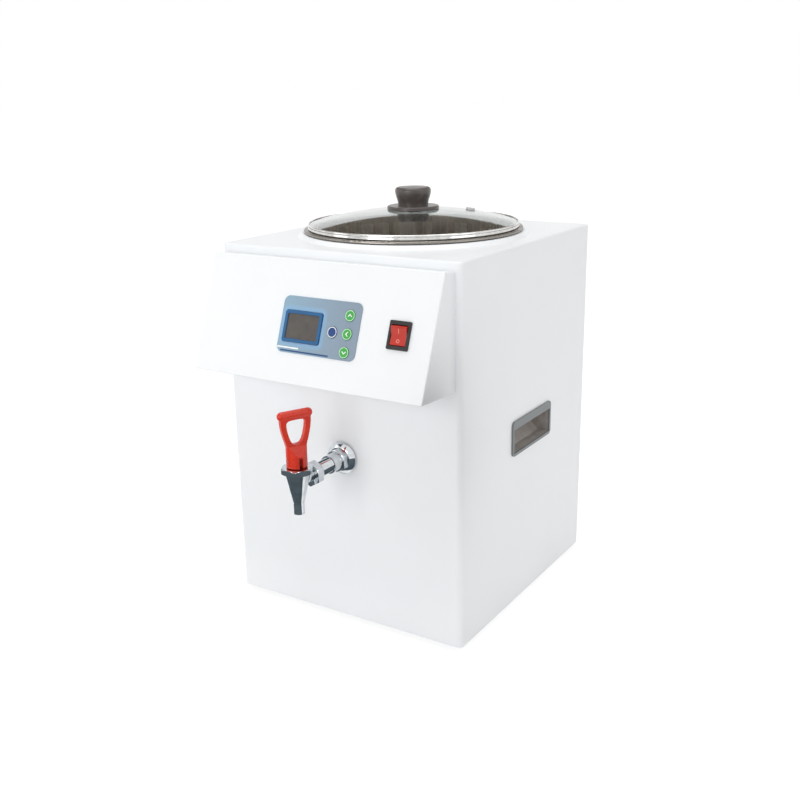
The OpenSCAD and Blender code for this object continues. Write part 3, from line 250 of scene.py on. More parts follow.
def drawn_pot(name):
    # Stainless pot, deep drawn and lined with a film of wax: its warm grey wall carries painted reflections of
    # the room, upright streaks and a few bright bars, and its floor and its rim are plain
    material, tree, shader = surface(name, {"Metallic": 1.0})
    place = add(tree, "ShaderNodeTexCoord").outputs["Object"]
    height = add(tree, "ShaderNodeSeparateXYZ", {0: place}).outputs[2]
    # Painted reflections: upright streaks and bright bars painted into the wall's colour stand in for the room
    # mirrored in it
    streak = pattern(tree, 13 * MM, (1, 1, 0.01), 2.0)
    painted_bars = pattern(tree, 24 * MM, (1, 1, 0.01), 1.0)
    colour = tint(tree, streak, linear("#6A5C51"), linear("#CABBAD"), 0.42, 0.56)
    plain = tint(tree, pattern(tree, 1.5 * MM, (1, 0.03, 1), 2.0), linear("#857A70"), linear("#9B9188"))
    # What steers each layer, from where to where, its share at both ends, and its colour
    layers = ((painted_bars, 0.53, 0.57, 0.0, 0.9, rgba(linear("#FFFCF8"))),
              (height, POT_FLOOR + 4 * MM, POT_FLOOR + 22 * MM, 1.0, 0.0, plain),
              (height, POT_RIM - 9 * MM, POT_RIM - 7 * MM, 0.0, 1.0, rgba(linear("#918C86"))))
    for steer, start, end, first, last, over in layers:
        share = add(tree, "ShaderNodeMapRange", {0: steer, 1: start, 2: end, 3: first, 4: last}).outputs[0]
        colour = add(tree, "ShaderNodeMix", {0: share, 6: colour, 7: over}, data_type="RGBA").outputs[2]
    tree.links.new(colour, shader.inputs["Base Color"])
    roughen(tree, shader, streak, 0.2, 0.34)
    return material


def chrome(name, low="#C4C9CD", high="#DFE3E6"):
    # Bright chromium on polished brass: mirror-like, with slight waves from the casting below
    material, tree, shader = surface(name, {"Metallic": 1.0})
    wave = pattern(tree, 9 * MM)
    haze = pattern(tree, 1.5 * MM)
    tree.links.new(tint(tree, wave, linear(low), linear(high)), shader.inputs["Base Color"])
    roughen(tree, shader, haze, 0.05, 0.11)
    relief(tree, shader, wave, 0.05 * MM, 0.25)
    return material


def zinc(name):
    # Electroplated zinc on pressed steel: bluish grey with a faint spangle
    material, tree, shader = surface(name, {"Metallic": 1.0})
    place = add(tree, "ShaderNodeTexCoord").outputs["Object"]
    spangle = add(tree, "ShaderNodeTexVoronoi", {"Vector": place, "Scale": 1 / (7 * MM)}).outputs[0]
    colour = tint(tree, spangle, linear("#9DA2A6"), linear("#BFC3C6"), 0.1, 0.8)
    tree.links.new(colour, shader.inputs["Base Color"])
    roughen(tree, shader, pattern(tree, 2 * MM), 0.3, 0.45)
    return material


def metal(name, low, high, smooth, rough, size):
    # Cast, drawn or turned metal left as made: soft mottling and a satin shine
    material, tree, shader = surface(name, {"Metallic": 1.0})
    grain = pattern(tree, size)
    tree.links.new(tint(tree, grain, linear(low), linear(high)), shader.inputs["Base Color"])
    roughen(tree, shader, grain, smooth, rough)
    relief(tree, shader, grain, 0.04 * MM, 0.3)
    return material


def tempered_glass(name):
    # Pressed and tempered soda-lime glass: clear with a faint green and slow waves
    material, tree, shader = surface(name, {"IOR": 1.5, "Transmission Weight": 1.0, "Roughness": 0.0})
    wave = pattern(tree, 45 * MM)
    tree.links.new(tint(tree, wave, linear("#EEF5F2"), linear("#F7FBFA")), shader.inputs["Base Color"])
    relief(tree, shader, wave, 0.1 * MM, 0.15)
    return material


def wool(name):
    # Needled mineral wool: matted yellow fibres, no shine. Fibres of a few hundredths of a millimetre are
    # drawn 1.5 mm thick, so that they show.
    material, tree, shader = surface(name, {"Roughness": 0.95, "Sheen Weight": 0.2})
    fibre = pattern(tree, 1.5 * MM, (1, 1, 0.2), 6.0)
    tree.links.new(tint(tree, fibre, linear("#9C8A52"), linear("#D9CB93")), shader.inputs["Base Color"])
    relief(tree, shader, fibre, 0.8 * MM, 0.8)
    return material


def display(name):
    # Unlit liquid-crystal display under a clear window: warm grey with fine rows of dots. Dots of 0.3 mm
    # are drawn 0.9 mm apart, so that they show.
    material, tree, shader = surface(name, {"IOR": 1.45, "Roughness": 0.35})
    place = add(tree, "ShaderNodeTexCoord").outputs["Object"]
    band = 0.31                          # width of one band of the wave pattern at scale 1
    waves = {"Vector": place, "Scale": band / (0.9 * MM), "Distortion": 0.0}
    rows = add(tree, "ShaderNodeTexWave", waves, bands_direction="X").outputs[1]
    base = tint(tree, pattern(tree, 9 * MM), linear("#4C4845"), linear("#5A534D"))
    share = add(tree, "ShaderNodeMapRange", {0: rows, 1: 0.0, 2: 1.0, 3: 0.0, 4: 0.12}).outputs[0]
    mixed = add(tree, "ShaderNodeMix", {0: share, 6: base, 7: rgba(linear("#393A3E"))}, data_type="RGBA")
    tree.links.new(mixed.outputs[2], shader.inputs["Base Color"])
    return material


def printed_film(name, left, right):
    # Polyester film printed on its back: satin, blue at the left, with a pale glow round the display
    material, tree, shader = surface(name, {"IOR": 1.5, "Coat Weight": 0.1, "Coat Roughness": 0.3})
    place = add(tree, "ShaderNodeTexCoord").outputs["Object"]
    moved = add(tree, "ShaderNodeVectorMath", {0: place, 1: HEAD_EDGE}, operation="SUBTRACT").outputs[0]
    # Distances in millimetres along the slope, across and up
    x, v = (add(tree, "ShaderNodeVectorMath", {0: moved, 1: way}, operation="DOT_PRODUCT").outputs["Value"]
            for way in ((1 / MM, 0, 0), SLOPE_UP / MM))
    reach = []
    for along, middle, half in ((x, FRAME_X, FRAME_W / 2 - FRAME_R), (v, FRAME_V, FRAME_H / 2 - FRAME_R)):
        off = add(tree, "ShaderNodeMath", {0: along, 1: middle}, operation="SUBTRACT").outputs[0]
        size = add(tree, "ShaderNodeMath", {0: off}, operation="ABSOLUTE").outputs[0]
        past = add(tree, "ShaderNodeMath", {0: size, 1: half}, operation="SUBTRACT").outputs[0]
        reach.append(add(tree, "ShaderNodeMath", {0: past, 1: 0.0}, operation="MAXIMUM").outputs[0])
    square = add(tree, "ShaderNodeCombineXYZ", {0: reach[0], 1: reach[1]}).outputs[0]
    far = add(tree, "ShaderNodeVectorMath", {0: square}, operation="LENGTH").outputs["Value"]
    fleck = pattern(tree, 0.8 * MM)
    colour = tint(tree, x, left, right, -30, 45)
    # What steers the glow and the flecks, from where to where, their share at both ends, and their colour
    layers = ((far, FRAME_R + 0.4, FRAME_R + 6, 0.85, 0.0, "#83B4DC"),
              (fleck, CLOUD_LOW, CLOUD_HIGH, 0.0, 0.05, "#FFFFFF"))
    for steer, start, end, first, last, code in layers:
        share = add(tree, "ShaderNodeMapRange", {0: steer, 1: start, 2: end, 3: first, 4: last}).outputs[0]
        over = rgba(linear(code))
        colour = add(tree, "ShaderNodeMix", {0: share, 6: colour, 7: over}, data_type="RGBA").outputs[2]
    tree.links.new(colour, shader.inputs["Base Color"])
    roughen(tree, shader, pattern(tree, 2 * MM), 0.3, 0.4)
    return material


def make_finishes(colours):
    """Builds one material for each of the record's slots, and the printing inks."""
    return {
        "white_paint": powder_coat("Powder coat, white", colours.paint),
        "zinc_steel": zinc("Zinc-plated steel"),
        # Matt and near-black, with a coarse bloom
        "black_rubber": moulded("Nitrile rubber, moulded", linear("#222222"), 0.7, 0.9 * MM, 0.08 * MM),
        "stainless": brushed("Stainless sheet, brushed", "#A39D96", "#D2CEC9"),
        # Cool, bright wire with a satin line
        "spring_steel": metal("Spring steel wire, drawn", "#A9ABAD", "#CFD1D3", 0.2, 0.3, 2 * MM),
        # Dull grey with the sand's grain
        "cast_alloy": metal("Aluminium, sand cast", "#9FA1A3", "#C6C8CA", 0.4, 0.6, 1.2 * MM),
        # Steel browned by heat
        "mica_band": metal("Steel band over mica", "#8E857A", "#AEA598", 0.35, 0.5, 3 * MM),
        "mineral_wool": wool("Mineral wool, needled"),
        # Cream, slightly waxy
        "phenolic": moulded("Phenolic, moulded", linear("#CFC6A8"), 0.5),
        "panel_film": printed_film("Polyester film, printed", colours.film_left, colours.film_right),
        # Satin blue frame that catches a soft edge light
        "blue_frame": moulded("ABS, moulded blue", linear("#125A8C"), 0.45),
        "lcd_glass": display("Liquid-crystal display, unlit"),
        # Green solder mask with a slight shine
        "board_green": moulded("Glass-epoxy board, masked", linear("#1D5C33"), 0.35, 2 * MM, 0.02 * MM),
        # Warm yellow with a turned sheen
        "brass": metal("Brass, turned", "#B79A55", "#D8C07C", 0.2, 0.35, 2 * MM),
        # Soft black that still shows its edges
        "black_plastic": moulded("Nylon, moulded black", linear("#1B1817"), 0.45),
        # Soft-touch keys: even colour, broad highlights
        "navy_key": moulded("Silicone key, navy", colours.set_key, 0.45),
        "green_key": moulded("Silicone key, green", colours.keys, 0.45),
        # Glossy, with a clear skin over deep red
        "red_rocker": moulded("Polycarbonate, moulded red", colours.rocker, 0.2, 1.5 * MM, 0.004 * MM, 0.25),
        "grey_plastic": recess("ABS, moulded grey", colours.grips),
        "chrome": chrome("Chromium plate, bright"),
        # Rubbery brick red, nearly matt
        "red_gasket": moulded("Silicone gasket", linear("#9E3B30"), 0.6),
        # Milky and soft
        "silicone": moulded("Silicone, moulded clear", linear("#D8D5CA"), 0.5),
        # Smooth, dense red with soft highlights
        "red_handle": moulded("Acetal, moulded red", colours.lever, 0.3, 1.2 * MM, 0.006 * MM),
        "lid_glass": tempered_glass("Tempered glass, pressed"),
        # Dark warm grey with a polished skin
        "dark_knob": moulded("Phenolic, moulded dark", colours.knob, 0.33, 1.0 * MM, 0.02 * MM, 0.25),
        # Pale and soft
        "vent_grey": moulded("Silicone grommet, pale", linear("#E6E8E6"), 0.5),
        "polished": chrome("Stainless band, rolled bright", "#C9C8C5", "#E6E5E3"),
        "tank": drawn_pot("Stainless pot, deep drawn"),
        # Inks: flat, opaque and satin
        "print_white": moulded("Ink, screen-printed white", linear("#F4F7F4"), 0.5),
        "print_pale": moulded("Ink, pad-printed pale red", linear("#EE8F80"), 0.4),
        "print_green": moulded("Ink, screen-printed pale green", linear("#BFEFC0"), 0.5),
        "print_blue": moulded("Ink, screen-printed blue", linear("#1C4878"), 0.5),
    }


FINISHES = {}
SLOT_OF = {row["node"]: row["material_slot"] for row in frame["record"]["subparts"]}


def finish(obj, name):
    obj.data.materials.clear()
    obj.data.materials.append(FINISHES[name])


def dress(nodes, name=None):
    """Gives CAD nodes their slot's material, or the named one."""
    for node in nodes.split():
        finish(frame["nodes"][node], name or SLOT_OF[node])


# Mesh helpers

def piece(name, mesh, body, look, smooth=35):
    """Puts a new mesh in the scene, lets it ride on a body and gives it a finish."""
    obj = bpy.data.objects.new(name, mesh)
    bpy.context.scene.collection.objects.link(obj)
    finish(obj, look)
    if smooth:
        mesh.shade_smooth()
        mesh.set_sharp_from_angle(angle=math.radians(smooth))
    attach(obj, body)
    return obj


def settled(obj, name):
    """Applies an object's modifiers and returns the mesh."""
    bpy.context.view_layer.update()
    graph = bpy.context.evaluated_depsgraph_get()
    mesh = bpy.data.meshes.new_from_object(obj.evaluated_get(graph))
    mesh.name = name
    bpy.data.objects.remove(obj)
    return mesh


def lathe(profile, name, steps=192):
    """Turns a closed profile of radius and height about the upright axis."""
    bm = bmesh.new()
    rings = []
    for i in range(steps):
        a = 2 * math.pi * i / steps
        rings.append([bm.verts.new((r * math.cos(a), r * math.sin(a), z)) for r, z in profile])
    n = len(profile)
    for i in range(steps):
        for j in range(n):
            here, there = rings[i], rings[(i + 1) % steps]
            bm.faces.new((here[j], there[j], there[(j + 1) % n], here[(j + 1) % n]))
    bmesh.ops.recalc_face_normals(bm, faces=bm.faces)
    mesh = bpy.data.meshes.new(name)
    bm.to_mesh(mesh)
    bm.free()
    return mesh


def slope_matrix(x, v, w):
    """Stands a piece on the sloped face, x across, v up and w out of it: its height runs out of the slope."""
    at = HEAD_EDGE + Vector((x, 0, 0)) + SLOPE_UP * v + SLOPE_OUT * w
    turn = Matrix((Vector((1, 0, 0)), SLOPE_UP, SLOPE_OUT)).transposed().to_4x4()
    return Matrix.Translation(at) @ turn


def raised(outline, thickness, matrix, holes=(), name="print"):
    """A thin plate of the given outline, with holes, standing on its matrix's plane."""
    bm = bmesh.new()
    edges = []
    for loop in (outline, *holes):
        verts = [bm.verts.new((x, y, 0)) for x, y in loop]
        edges += [bm.edges.new((verts[i], verts[(i + 1) % len(verts)])) for i in range(len(verts))]
    flat = bmesh.ops.triangle_fill(bm, edges=edges, use_beauty=True)
    faces = [g for g in flat["geom"] if isinstance(g, bmesh.types.BMFace)]
    grown = bmesh.ops.extrude_face_region(bm, geom=faces)
    lifted = [g for g in grown["geom"] if isinstance(g, bmesh.types.BMVert)]
    bmesh.ops.translate(bm, vec=(0, 0, thickness), verts=lifted)
    bmesh.ops.recalc_face_normals(bm, faces=bm.faces)
    bmesh.ops.transform(bm, matrix=matrix, verts=bm.verts)
    mesh = bpy.data.meshes.new(name)
    bm.to_mesh(mesh)
    bm.free()
    return mesh


def circle(radius, steps=48):
    angles = [2 * math.pi * i / steps for i in range(steps)]
    return [(radius * math.cos(a), radius * math.sin(a)) for a in angles]


def stroke(points, width):
    """Outline of a bent line of the given width, with square ends."""
    left, right = [], []
    for i, p in enumerate(points):
        before = Vector(points[max(i - 1, 0)])
        after = Vector(points[min(i + 1, len(points) - 1)])
        here = Vector(p)
        a = (here - before).normalized() if i else (after - here).normalized()
        b = (after - here).normalized() if i < len(points) - 1 else a
        way = (a + b).normalized()
        side = Vector((-way.y, way.x)) * (width / 2) / max(0.4, way.dot(b))
        left.append(tuple(here + side))
        right.append(tuple(here - side))
    return left + right[::-1]


def boxed(x, y):
    return [(-x / 2, -y / 2), (x / 2, -y / 2), (x / 2, y / 2), (-x / 2, y / 2)]


def cleaned(node):
    """A mesh with a CAD node's faces joined again along their shared edges and flat sides made whole."""
    weld, flat = 0.001 * MM, math.radians(0.4)
    bm = bmesh.new()
    bm.from_mesh(frame["nodes"][node].data)
    bmesh.ops.remove_doubles(bm, verts=bm.verts, dist=weld)
    bmesh.ops.dissolve_limit(bm, angle_limit=flat, verts=bm.verts, edges=bm.edges)
    return bm


def hull_faces(bm):
    """The faces that no point of the mesh stands in front of, apart from the back, which lies on the cabinet."""
    backward, slack = 0.99, 0.01 * MM
    points = [v.co.copy() for v in bm.verts]
    hull = set()
    for face in bm.faces:
        reach = face.normal.dot(face.verts[0].co)
        if face.normal.y < backward and all(face.normal.dot(p) < reach + slack for p in points):
            hull.add(face)
    return hull


def softened(node, body, width, corner=35, segments=2, outer=False):
    """Copies a CAD node, rounds its sharp edges, or only those of its outer hull, and replaces the node."""
    bm = cleaned(node)
    bm.normal_update()
    bm.faces.ensure_lookup_table()
    rounded = hull_faces(bm) if outer else set(bm.faces)
    picked = [edge for edge in bm.edges
              if len(edge.link_faces) == 2 and edge.calc_face_angle() > math.radians(corner)
              and all(face in rounded for face in edge.link_faces)]
    bmesh.ops.bevel(bm, geom=picked, offset=width, offset_type="OFFSET", segments=segments, profile=0.5,
                    affect="EDGES", clamp_overlap=True)
    mesh = bpy.data.meshes.new(node + "_soft")
    bm.to_mesh(mesh)
    bm.free()
    obj = piece(node + "_soft", mesh, body, SLOT_OF[node], 30)
    obj.modifiers.new("Even shading", "WEIGHTED_NORMAL").keep_sharp = True
    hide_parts(node)
    return obj


# Operators

class DISPENSER_OT_finishes(bpy.types.Operator):
    """Makes the materials that the other operators use"""
    bl_idname = "dispenser.finishes"
    bl_label = "Finishes"

    def execute(self, context):
        FINISHES.update(make_finishes(context.scene.dispenser_colours))
        return {"FINISHED"}


class DISPENSER_OT_cabinet(bpy.types.Operator):
    """Dresses the cabinet's sheets, feet and screws"""
    bl_idname = "dispenser.cabinet"
    bl_label = "Cabinet"

    def execute(self, context):
        dress("cabinet_wrap top_panel rear_panel base_plate feet cabinet_screws")
        return {"FINISHED"}


class DISPENSER_OT_tank(bpy.types.Operator):
    """Dresses the wax tank and what carries and heats it"""
    bl_idname = "dispenser.tank"
    bl_label = "Tank and heaters"

    def execute(self, context):
        dress("wax_tank", "tank")
        dress("tank_shelf tank_posts base_heater heater_band insulation_jacket temperature_probe"
              " thermal_cutout tank_outlet tap_heater_block tap_heater_cartridge")
        return {"FINISHED"}


# Section of the rolled band, in millimetres: distance in from its edge, and height above its foot where
# the whole band is 6 mm high
BAND_HEIGHT = 6
BAND_SECTION = ((-7.6, 0), (-1.1, 0), (-0.45, 0.2), (-0.1, 0.7), (0, 1.4), (-0.25, 2.2), (-0.55, 2.7),
                (-0.55, 3.3), (-0.2, 3.9), (0, 4.6), (-0.15, 5.4), (-0.6, 5.85), (-1.3, 6.0), (-1.9, 5.8),
                (-2.1, 5.3), (-1.9, 4.95), (-1.3, 5.15), (-0.95, 4.9), (-0.85, 4.3), (-1.3, 3.4),
                (-1.3, 2.6), (-0.9, 1.9), (-1.0, 1.0), (-7.6, 0.8))


class DISPENSER_OT_lid(bpy.types.Operator):
    """Dresses the lid and rolls the band round its glass"""
    bl_idname = "dispenser.lid"
    bl_label = "Lid"

    def execute(self, context):
        dress("lid_glass lid_knob knob_screw vent_grommet")
        low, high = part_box("lid_band")
        share = (high.z - low.z) / (BAND_HEIGHT * MM)
        section = [(high.x + r * MM, low.z + z * MM * share) for r, z in BAND_SECTION]
        band = piece("rolled_band", lathe(section, "rolled_band"), "lid", "polished", 60)
        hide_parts("lid_band")
        return {"FINISHED"}


# Centre of each key across and up the slope, in millimetres, and the turn of its arrow in degrees
KEYS = {"key_set": (28.0, 58.3, None), "key_up": (46.0, 76.8, 0), "key_left": (46.0, 58.3, 90),
        "key_down": (46.0, 39.8, 180)}
KEY_TOP = 1.42 * MM                  # height of a key's top above the slope
KEY_RING = 5.45 * MM                 # outer radius of the printed ring
KEY_INK = 0.06 * MM                  # thickness of the ink on keys and rocker
ARROW_ARM = 2.3 * MM                 # half width of an arrow
FILM_TOP = 0.82 * MM                 # height of the film above the slope
FILM_INK = 0.05 * MM
# Name, length, width, place across and up the slope, and ink of each printed line, in millimetres
FILM_LINES = (("film_bar", 27, 1.5, -23.5, 37.2, "print_white"),
              ("film_strip", 60, 1.6, -2.5, 34.0, "print_blue"))


class DISPENSER_OT_head(bpy.types.Operator):
    """Folds the control head and prints its keypad"""
    bl_idname = "dispenser.head"
    bl_label = "Control head"

    def execute(self, context):
        sizes = context.scene.dispenser_sizes
        dress("display_screen display_module control_board board_posts key_switches")
        softened("control_head", "cabinet", sizes.edge, segments=4, outer=True)
        softened("overlay_plate", "cabinet", 0.25 * MM)
        softened("display_bezel", "cabinet", 0.4 * MM, segments=3)
        dress("key_set key_up key_left key_down")
        for node, (x, v, turn) in KEYS.items():
            slot, ink = ("navy_key", "print_white") if turn is None else ("green_key", "print_green")
            body = node.replace("key_", "") + "_key"
            stand = slope_matrix(x * MM, v * MM, KEY_TOP)
            ring = raised(circle(KEY_RING), KEY_INK, stand, [circle(KEY_RING - sizes.rim)], node + "_ring")
            piece(node + "_ring", ring, body, ink)
            if turn is None:
                continue
            points = [(-ARROW_ARM, -ARROW_ARM * 0.45), (0, ARROW_ARM * 0.55), (ARROW_ARM, -ARROW_ARM * 0.45)]
            stand = stand @ Matrix.Rotation(math.radians(turn), 4, "Z")
            arrow = raised(stroke(points, sizes.mark), KEY_INK, stand, name=node + "_arrow")
            piece(node + "_arrow", arrow, body, "print_white")
        for name, length, width, x, v, ink in FILM_LINES:
            stand = slope_matrix(x * MM, v * MM, FILM_TOP)
            line = raised(boxed(length * MM, width * MM), FILM_INK, stand, name=name)
            piece(name, line, "cabinet", ink)
        return {"FINISHED"}


# The rocker as the CAD source has it, in millimetres: pivot across, up and out of the slope, its rest
# angle, half length, height at its ends and dip in its middle
ROCKER_PIVOT = (105.5, 63.6, -1)
ROCKER_REST = math.radians(10)
ROCKER_END, ROCKER_END_H, ROCKER_DIP = 9, 4.36, 2


class DISPENSER_OT_switch(bpy.types.Operator):
    """Dresses the power switch and prints the marks on its rocker"""
    bl_idname = "dispenser.switch"
    bl_label = "Power switch"

    def execute(self, context):
        dress("switch_terminals")
        softened("switch_housing", "cabinet", 0.5 * MM, segments=3)
        softened("switch_rocker", "rocker", 0.6 * MM, segments=3)
        pivot = slope_matrix(*(p * MM for p in ROCKER_PIVOT)) @ Matrix.Rotation(ROCKER_REST, 4, "X")
        fall = math.atan2(ROCKER_DIP, ROCKER_END)
        clear = 0.02                     # lift of the ink off the plastic
        # Name, side of the pivot, distance from it, outline and holes of each mark
        marks = (("rocker_line", 1, 4.6, boxed(0.9 * MM, 4.6 * MM), []),
                 ("rocker_ring", -1, 5.0, circle(1.9 * MM), [circle(1.2 * MM)]))
        for name, side, at, outline, holes in marks:
            height = ROCKER_END_H - ROCKER_DIP + at * ROCKER_DIP / ROCKER_END + clear
            stand = pivot @ Matrix.Translation((0, side * at * MM, height * MM))
            mesh = raised(outline, KEY_INK, stand @ Matrix.Rotation(side * fall, 4, "X"), holes, name)
            piece(name, mesh, "rocker", "print_pale")
        return {"FINISHED"}


class DISPENSER_OT_tap(bpy.types.Operator):
    """Dresses the tap's plated pieces and what moves inside it"""
    bl_idname = "dispenser.tap"
    bl_label = "Tap"

    def execute(self, context):
        dress("shank_gaskets shank_lock_nut tap_shank tap_body spring_washer valve_stem seat_cup handle_pin")
        for node in ("tap_flange", "shank_nut", "shank_sleeve", "union_nut", "tap_bonnet"):
            softened(node, "cabinet", 0.3 * MM, 25)
        self.spring()
        return {"FINISHED"}

    def spring(self):
        """The return spring, as one piece that rides with the stem."""
        mesh = bpy.data.meshes.new("return_spring")
        bm = cleaned("tap_spring")
        bm.to_mesh(mesh)
        bm.free()
        coil = piece("return_spring", mesh, "tap_stem", "spring_steel", 80)
        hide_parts("tap_spring")
        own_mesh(coil)


# Half outline of the lever's loop and of its opening: distance from the middle and height above the
# lever's foot, in millimetres as all sizes of the lever here
LEVER_OUTLINE = ((10.0, 16.0), (10.7, 21.0), (12.0, 26.0), (13.6, 31.0), (15.1, 37.0), (16.2, 42.5),
                 (16.7, 48.0), (16.7, 55.0))
LEVER_OPENING = ((2.8, 24.4), (5.0, 25.8), (6.8, 28.6), (8.2, 32.4), (9.5, 37.4), (10.4, 42.0),
                 (10.7, 45.6), (10.3, 47.8), (8.6, 49.2), (5.0, 49.8))
OPENING_FOOT = 23.9                  # lowest point of the opening, on the middle line
LOOP_THICK = 5.8
BAR_R, BAR_L, BAR_Z = 4.7, 29.4, 55  # grip bar: radius, length between its round ends, height
NECK_R, NECK_H = 10.9, 23.6
FLAT_Z, FLAT_OUT = 12.4, (15.0, 7.7)  # slanted flats: height where they start, and their direction out and up
EYE_SLOT, EYE_SLOT_Z = (4.1, 30, 12.4), 5  # slot over the stem's eye: size and middle height
PIN_R, PIN_L, PIN_Z = 1.5, 30, 6     # bore of the pin: radius, length, height


class DISPENSER_OT_lever(bpy.types.Operator):
    """Moulds the looped lever as one rounded piece"""
    bl_idname = "dispenser.lever"
    bl_label = "Lever"

    def execute(self, context):
        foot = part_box("tap_handle")[0].z
        stand = Matrix.Translation((TAP_X, TAP_Y, foot)) @ Matrix.Rotation(LEVER_TURN, 4, "Z")
        bm = self.neck()
        plate = [(x * MM, z * MM) for x, z in LEVER_OUTLINE]
        hole = [(x * MM, z * MM) for x, z in LEVER_OPENING]
        upright = Matrix.Translation((0, LOOP_THICK / 2 * MM, 0)) @ Matrix.Rotation(math.pi / 2, 4, "X")
        loop = raised(plate + [(-x, z) for x, z in plate[::-1]], LOOP_THICK * MM, upright,
                      [[(0, OPENING_FOOT * MM)] + hole + [(-x, z) for x, z in hole[::-1]]], "loop")
        bm.from_mesh(loop)
        bar = Matrix.Translation((0, 0, BAR_Z * MM)) @ Matrix.Rotation(math.pi / 2, 4, "Y")
        bmesh.ops.create_cone(bm, cap_ends=True, segments=48, radius1=BAR_R * MM, radius2=BAR_R * MM,
                              depth=BAR_L * MM, matrix=bar)
        for side in (-1, 1):
            end = Matrix.Translation((side * BAR_L / 2 * MM, 0, BAR_Z * MM))
            bmesh.ops.create_icosphere(bm, subdivisions=4, radius=BAR_R * MM, matrix=end)
        bmesh.ops.transform(bm, matrix=stand, verts=bm.verts)
        mesh = bpy.data.meshes.new("lever_rough")
        bm.to_mesh(mesh)
        bm.free()
        rough = bpy.data.objects.new("lever_rough", mesh)
        bpy.context.scene.collection.objects.link(rough)
        skin = rough.modifiers.new("One skin", "REMESH")
        skin.mode = "VOXEL"
        skin.voxel_size = 0.36 * MM
        skin.use_smooth_shade = True
        ease = rough.modifiers.new("Eased edges", "SMOOTH")
        ease.factor = 0.5
        ease.iterations = 11
        lever = piece("moulded_lever", settled(rough, "moulded_lever"), "tap_lever", "red_handle", 0)
        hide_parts("tap_handle")
        return {"FINISHED"}

    def neck(self):
        """The round neck with a slanted flat at its front and back, its slot and its pin's bore."""
        bm = bmesh.new()
        bmesh.ops.create_cone(bm, cap_ends=True, segments=96, radius1=NECK_R * MM, radius2=NECK_R * MM,
                              depth=NECK_H * MM, matrix=Matrix.Translation((0, 0, NECK_H / 2 * MM)))
        for side in (-1, 1):
            cut = bmesh.ops.bisect_plane(bm, geom=bm.verts[:] + bm.edges[:] + bm.faces[:], clear_outer=True,
                                         plane_co=(0, side * NECK_R * MM, FLAT_Z * MM),
                                         plane_no=(0, side * FLAT_OUT[0], FLAT_OUT[1]))
            rim = [g for g in cut["geom_cut"] if isinstance(g, bmesh.types.BMEdge)]
            bmesh.ops.holes_fill(bm, edges=rim)
        mesh = bpy.data.meshes.new("neck")
        bm.to_mesh(mesh)
        bm.free()
        body = bpy.data.objects.new("neck", mesh)
        cutters = bmesh.new()
        slot = Matrix.Diagonal([s * MM for s in EYE_SLOT] + [1])
        bmesh.ops.create_cube(cutters, size=1, matrix=Matrix.Translation((0, 0, EYE_SLOT_Z * MM)) @ slot)
        bore = Matrix.Translation((0, 0, PIN_Z * MM)) @ Matrix.Rotation(math.pi / 2, 4, "Y")
        bmesh.ops.create_cone(cutters, cap_ends=True, segments=32, radius1=PIN_R * MM, radius2=PIN_R * MM,
                              depth=PIN_L * MM, matrix=bore)
        tool = bpy.data.meshes.new("neck_cutters")
        cutters.to_mesh(tool)
        cutters.free()
        cutter = bpy.data.objects.new("neck_cutters", tool)
        for obj in (body, cutter):
            bpy.context.scene.collection.objects.link(obj)
        carve = body.modifiers.new("Slot and bore", "BOOLEAN")
        carve.operation = "DIFFERENCE"
        carve.solver = "EXACT"
        carve.use_self = True
        carve.object = cutter
        carved = settled(body, "neck_carved")
        bpy.data.objects.remove(cutter)
        bm = bmesh.new()
        bm.from_mesh(carved)
        return bm


class DISPENSER_OT_grips(bpy.types.Operator):
    """Dresses the recessed side grips"""
    bl_idname = "dispenser.grips"
    bl_label = "Side grips"

    def execute(self, context):
        softened("side_grip_left", "cabinet", 1.0 * MM, segments=3)
        softened("side_grip_right", "cabinet", 1.0 * MM, segments=3)
        return {"FINISHED"}


class DISPENSER_OT_electrics(bpy.types.Operator):
    """Dresses the mains inlet and the units on the base plate"""
    bl_idname = "dispenser.electrics"
    bl_label = "Electrics"

    def execute(self, context):
        dress("power_inlet inlet_pins power_supply solid_state_relay terminal_block")
        return {"FINISHED"}


# Name, place, size and power of each soft box, all aimed at the object's middle
AIM = Vector((0, 0, 0.22))
LAMPS = (("Front soft box", (-0.2, -3.1, 0.9), 1.5, 25.5), ("Left soft box", (-1.9, -1.5, 1.0), 0.8, 3),
         ("Right soft box", (2.8, -0.2, 1.2), 1.4, 8.5), ("Top soft box", (-0.3, 0.3, 2.6), 1.8, 23.5))
FLOOR_SIDE = 60.0
# Kinds of ray that a card stays hidden from: the first card shows in bright metal only, the second in
# metal and glass, and the third only holds back light
FOR_METAL = ("camera", "diffuse", "transmission", "shadow")
FOR_GLASS = ("camera", "diffuse", "shadow")
FOR_SHADE = ("camera", "glossy", "transmission")
# Name, place, facing direction, width, height, colour and hiding of each card
CARDS = (("Dark card, low front", (0.15, -0.8, -0.004), (0, 0, 1), 2.4, 1.15, "#4A565D", FOR_METAL),
         ("Dark card, high back", (-1.3, 2.0, 2.04), (0.5, -0.8, -0.75), 4.8, 1.6, "#8D8378", FOR_GLASS),
         ("Dark card, high left", (-1.3, -1.25, 2.2), (0.52, 0.42, -0.74), 1.3, 1.1, "#4A565D", FOR_METAL),
         ("Dark strip, left", (-1.45, -1.55, 1.72), (0.6, 0.56, -0.57), 1.0, 0.3, "#4A565D", FOR_METAL),
         ("Flag beside the head", (0.215, -0.252, 0.235), (1, 0, 0.3), 0.14, 0.16, "#1C1C1C", FOR_SHADE))
# The camera, as fitted to the photograph's perspective
CAMERA_PLACE = (0.614704, -0.996510, 0.571242)
CAMERA_TURN, CAMERA_LIFT, CAMERA_ROLL = (math.radians(a) for a in (32.5943, 17.0264, -1.0156))
SENSOR_WIDTH, FOCAL_LENGTH = 36, 45.7756


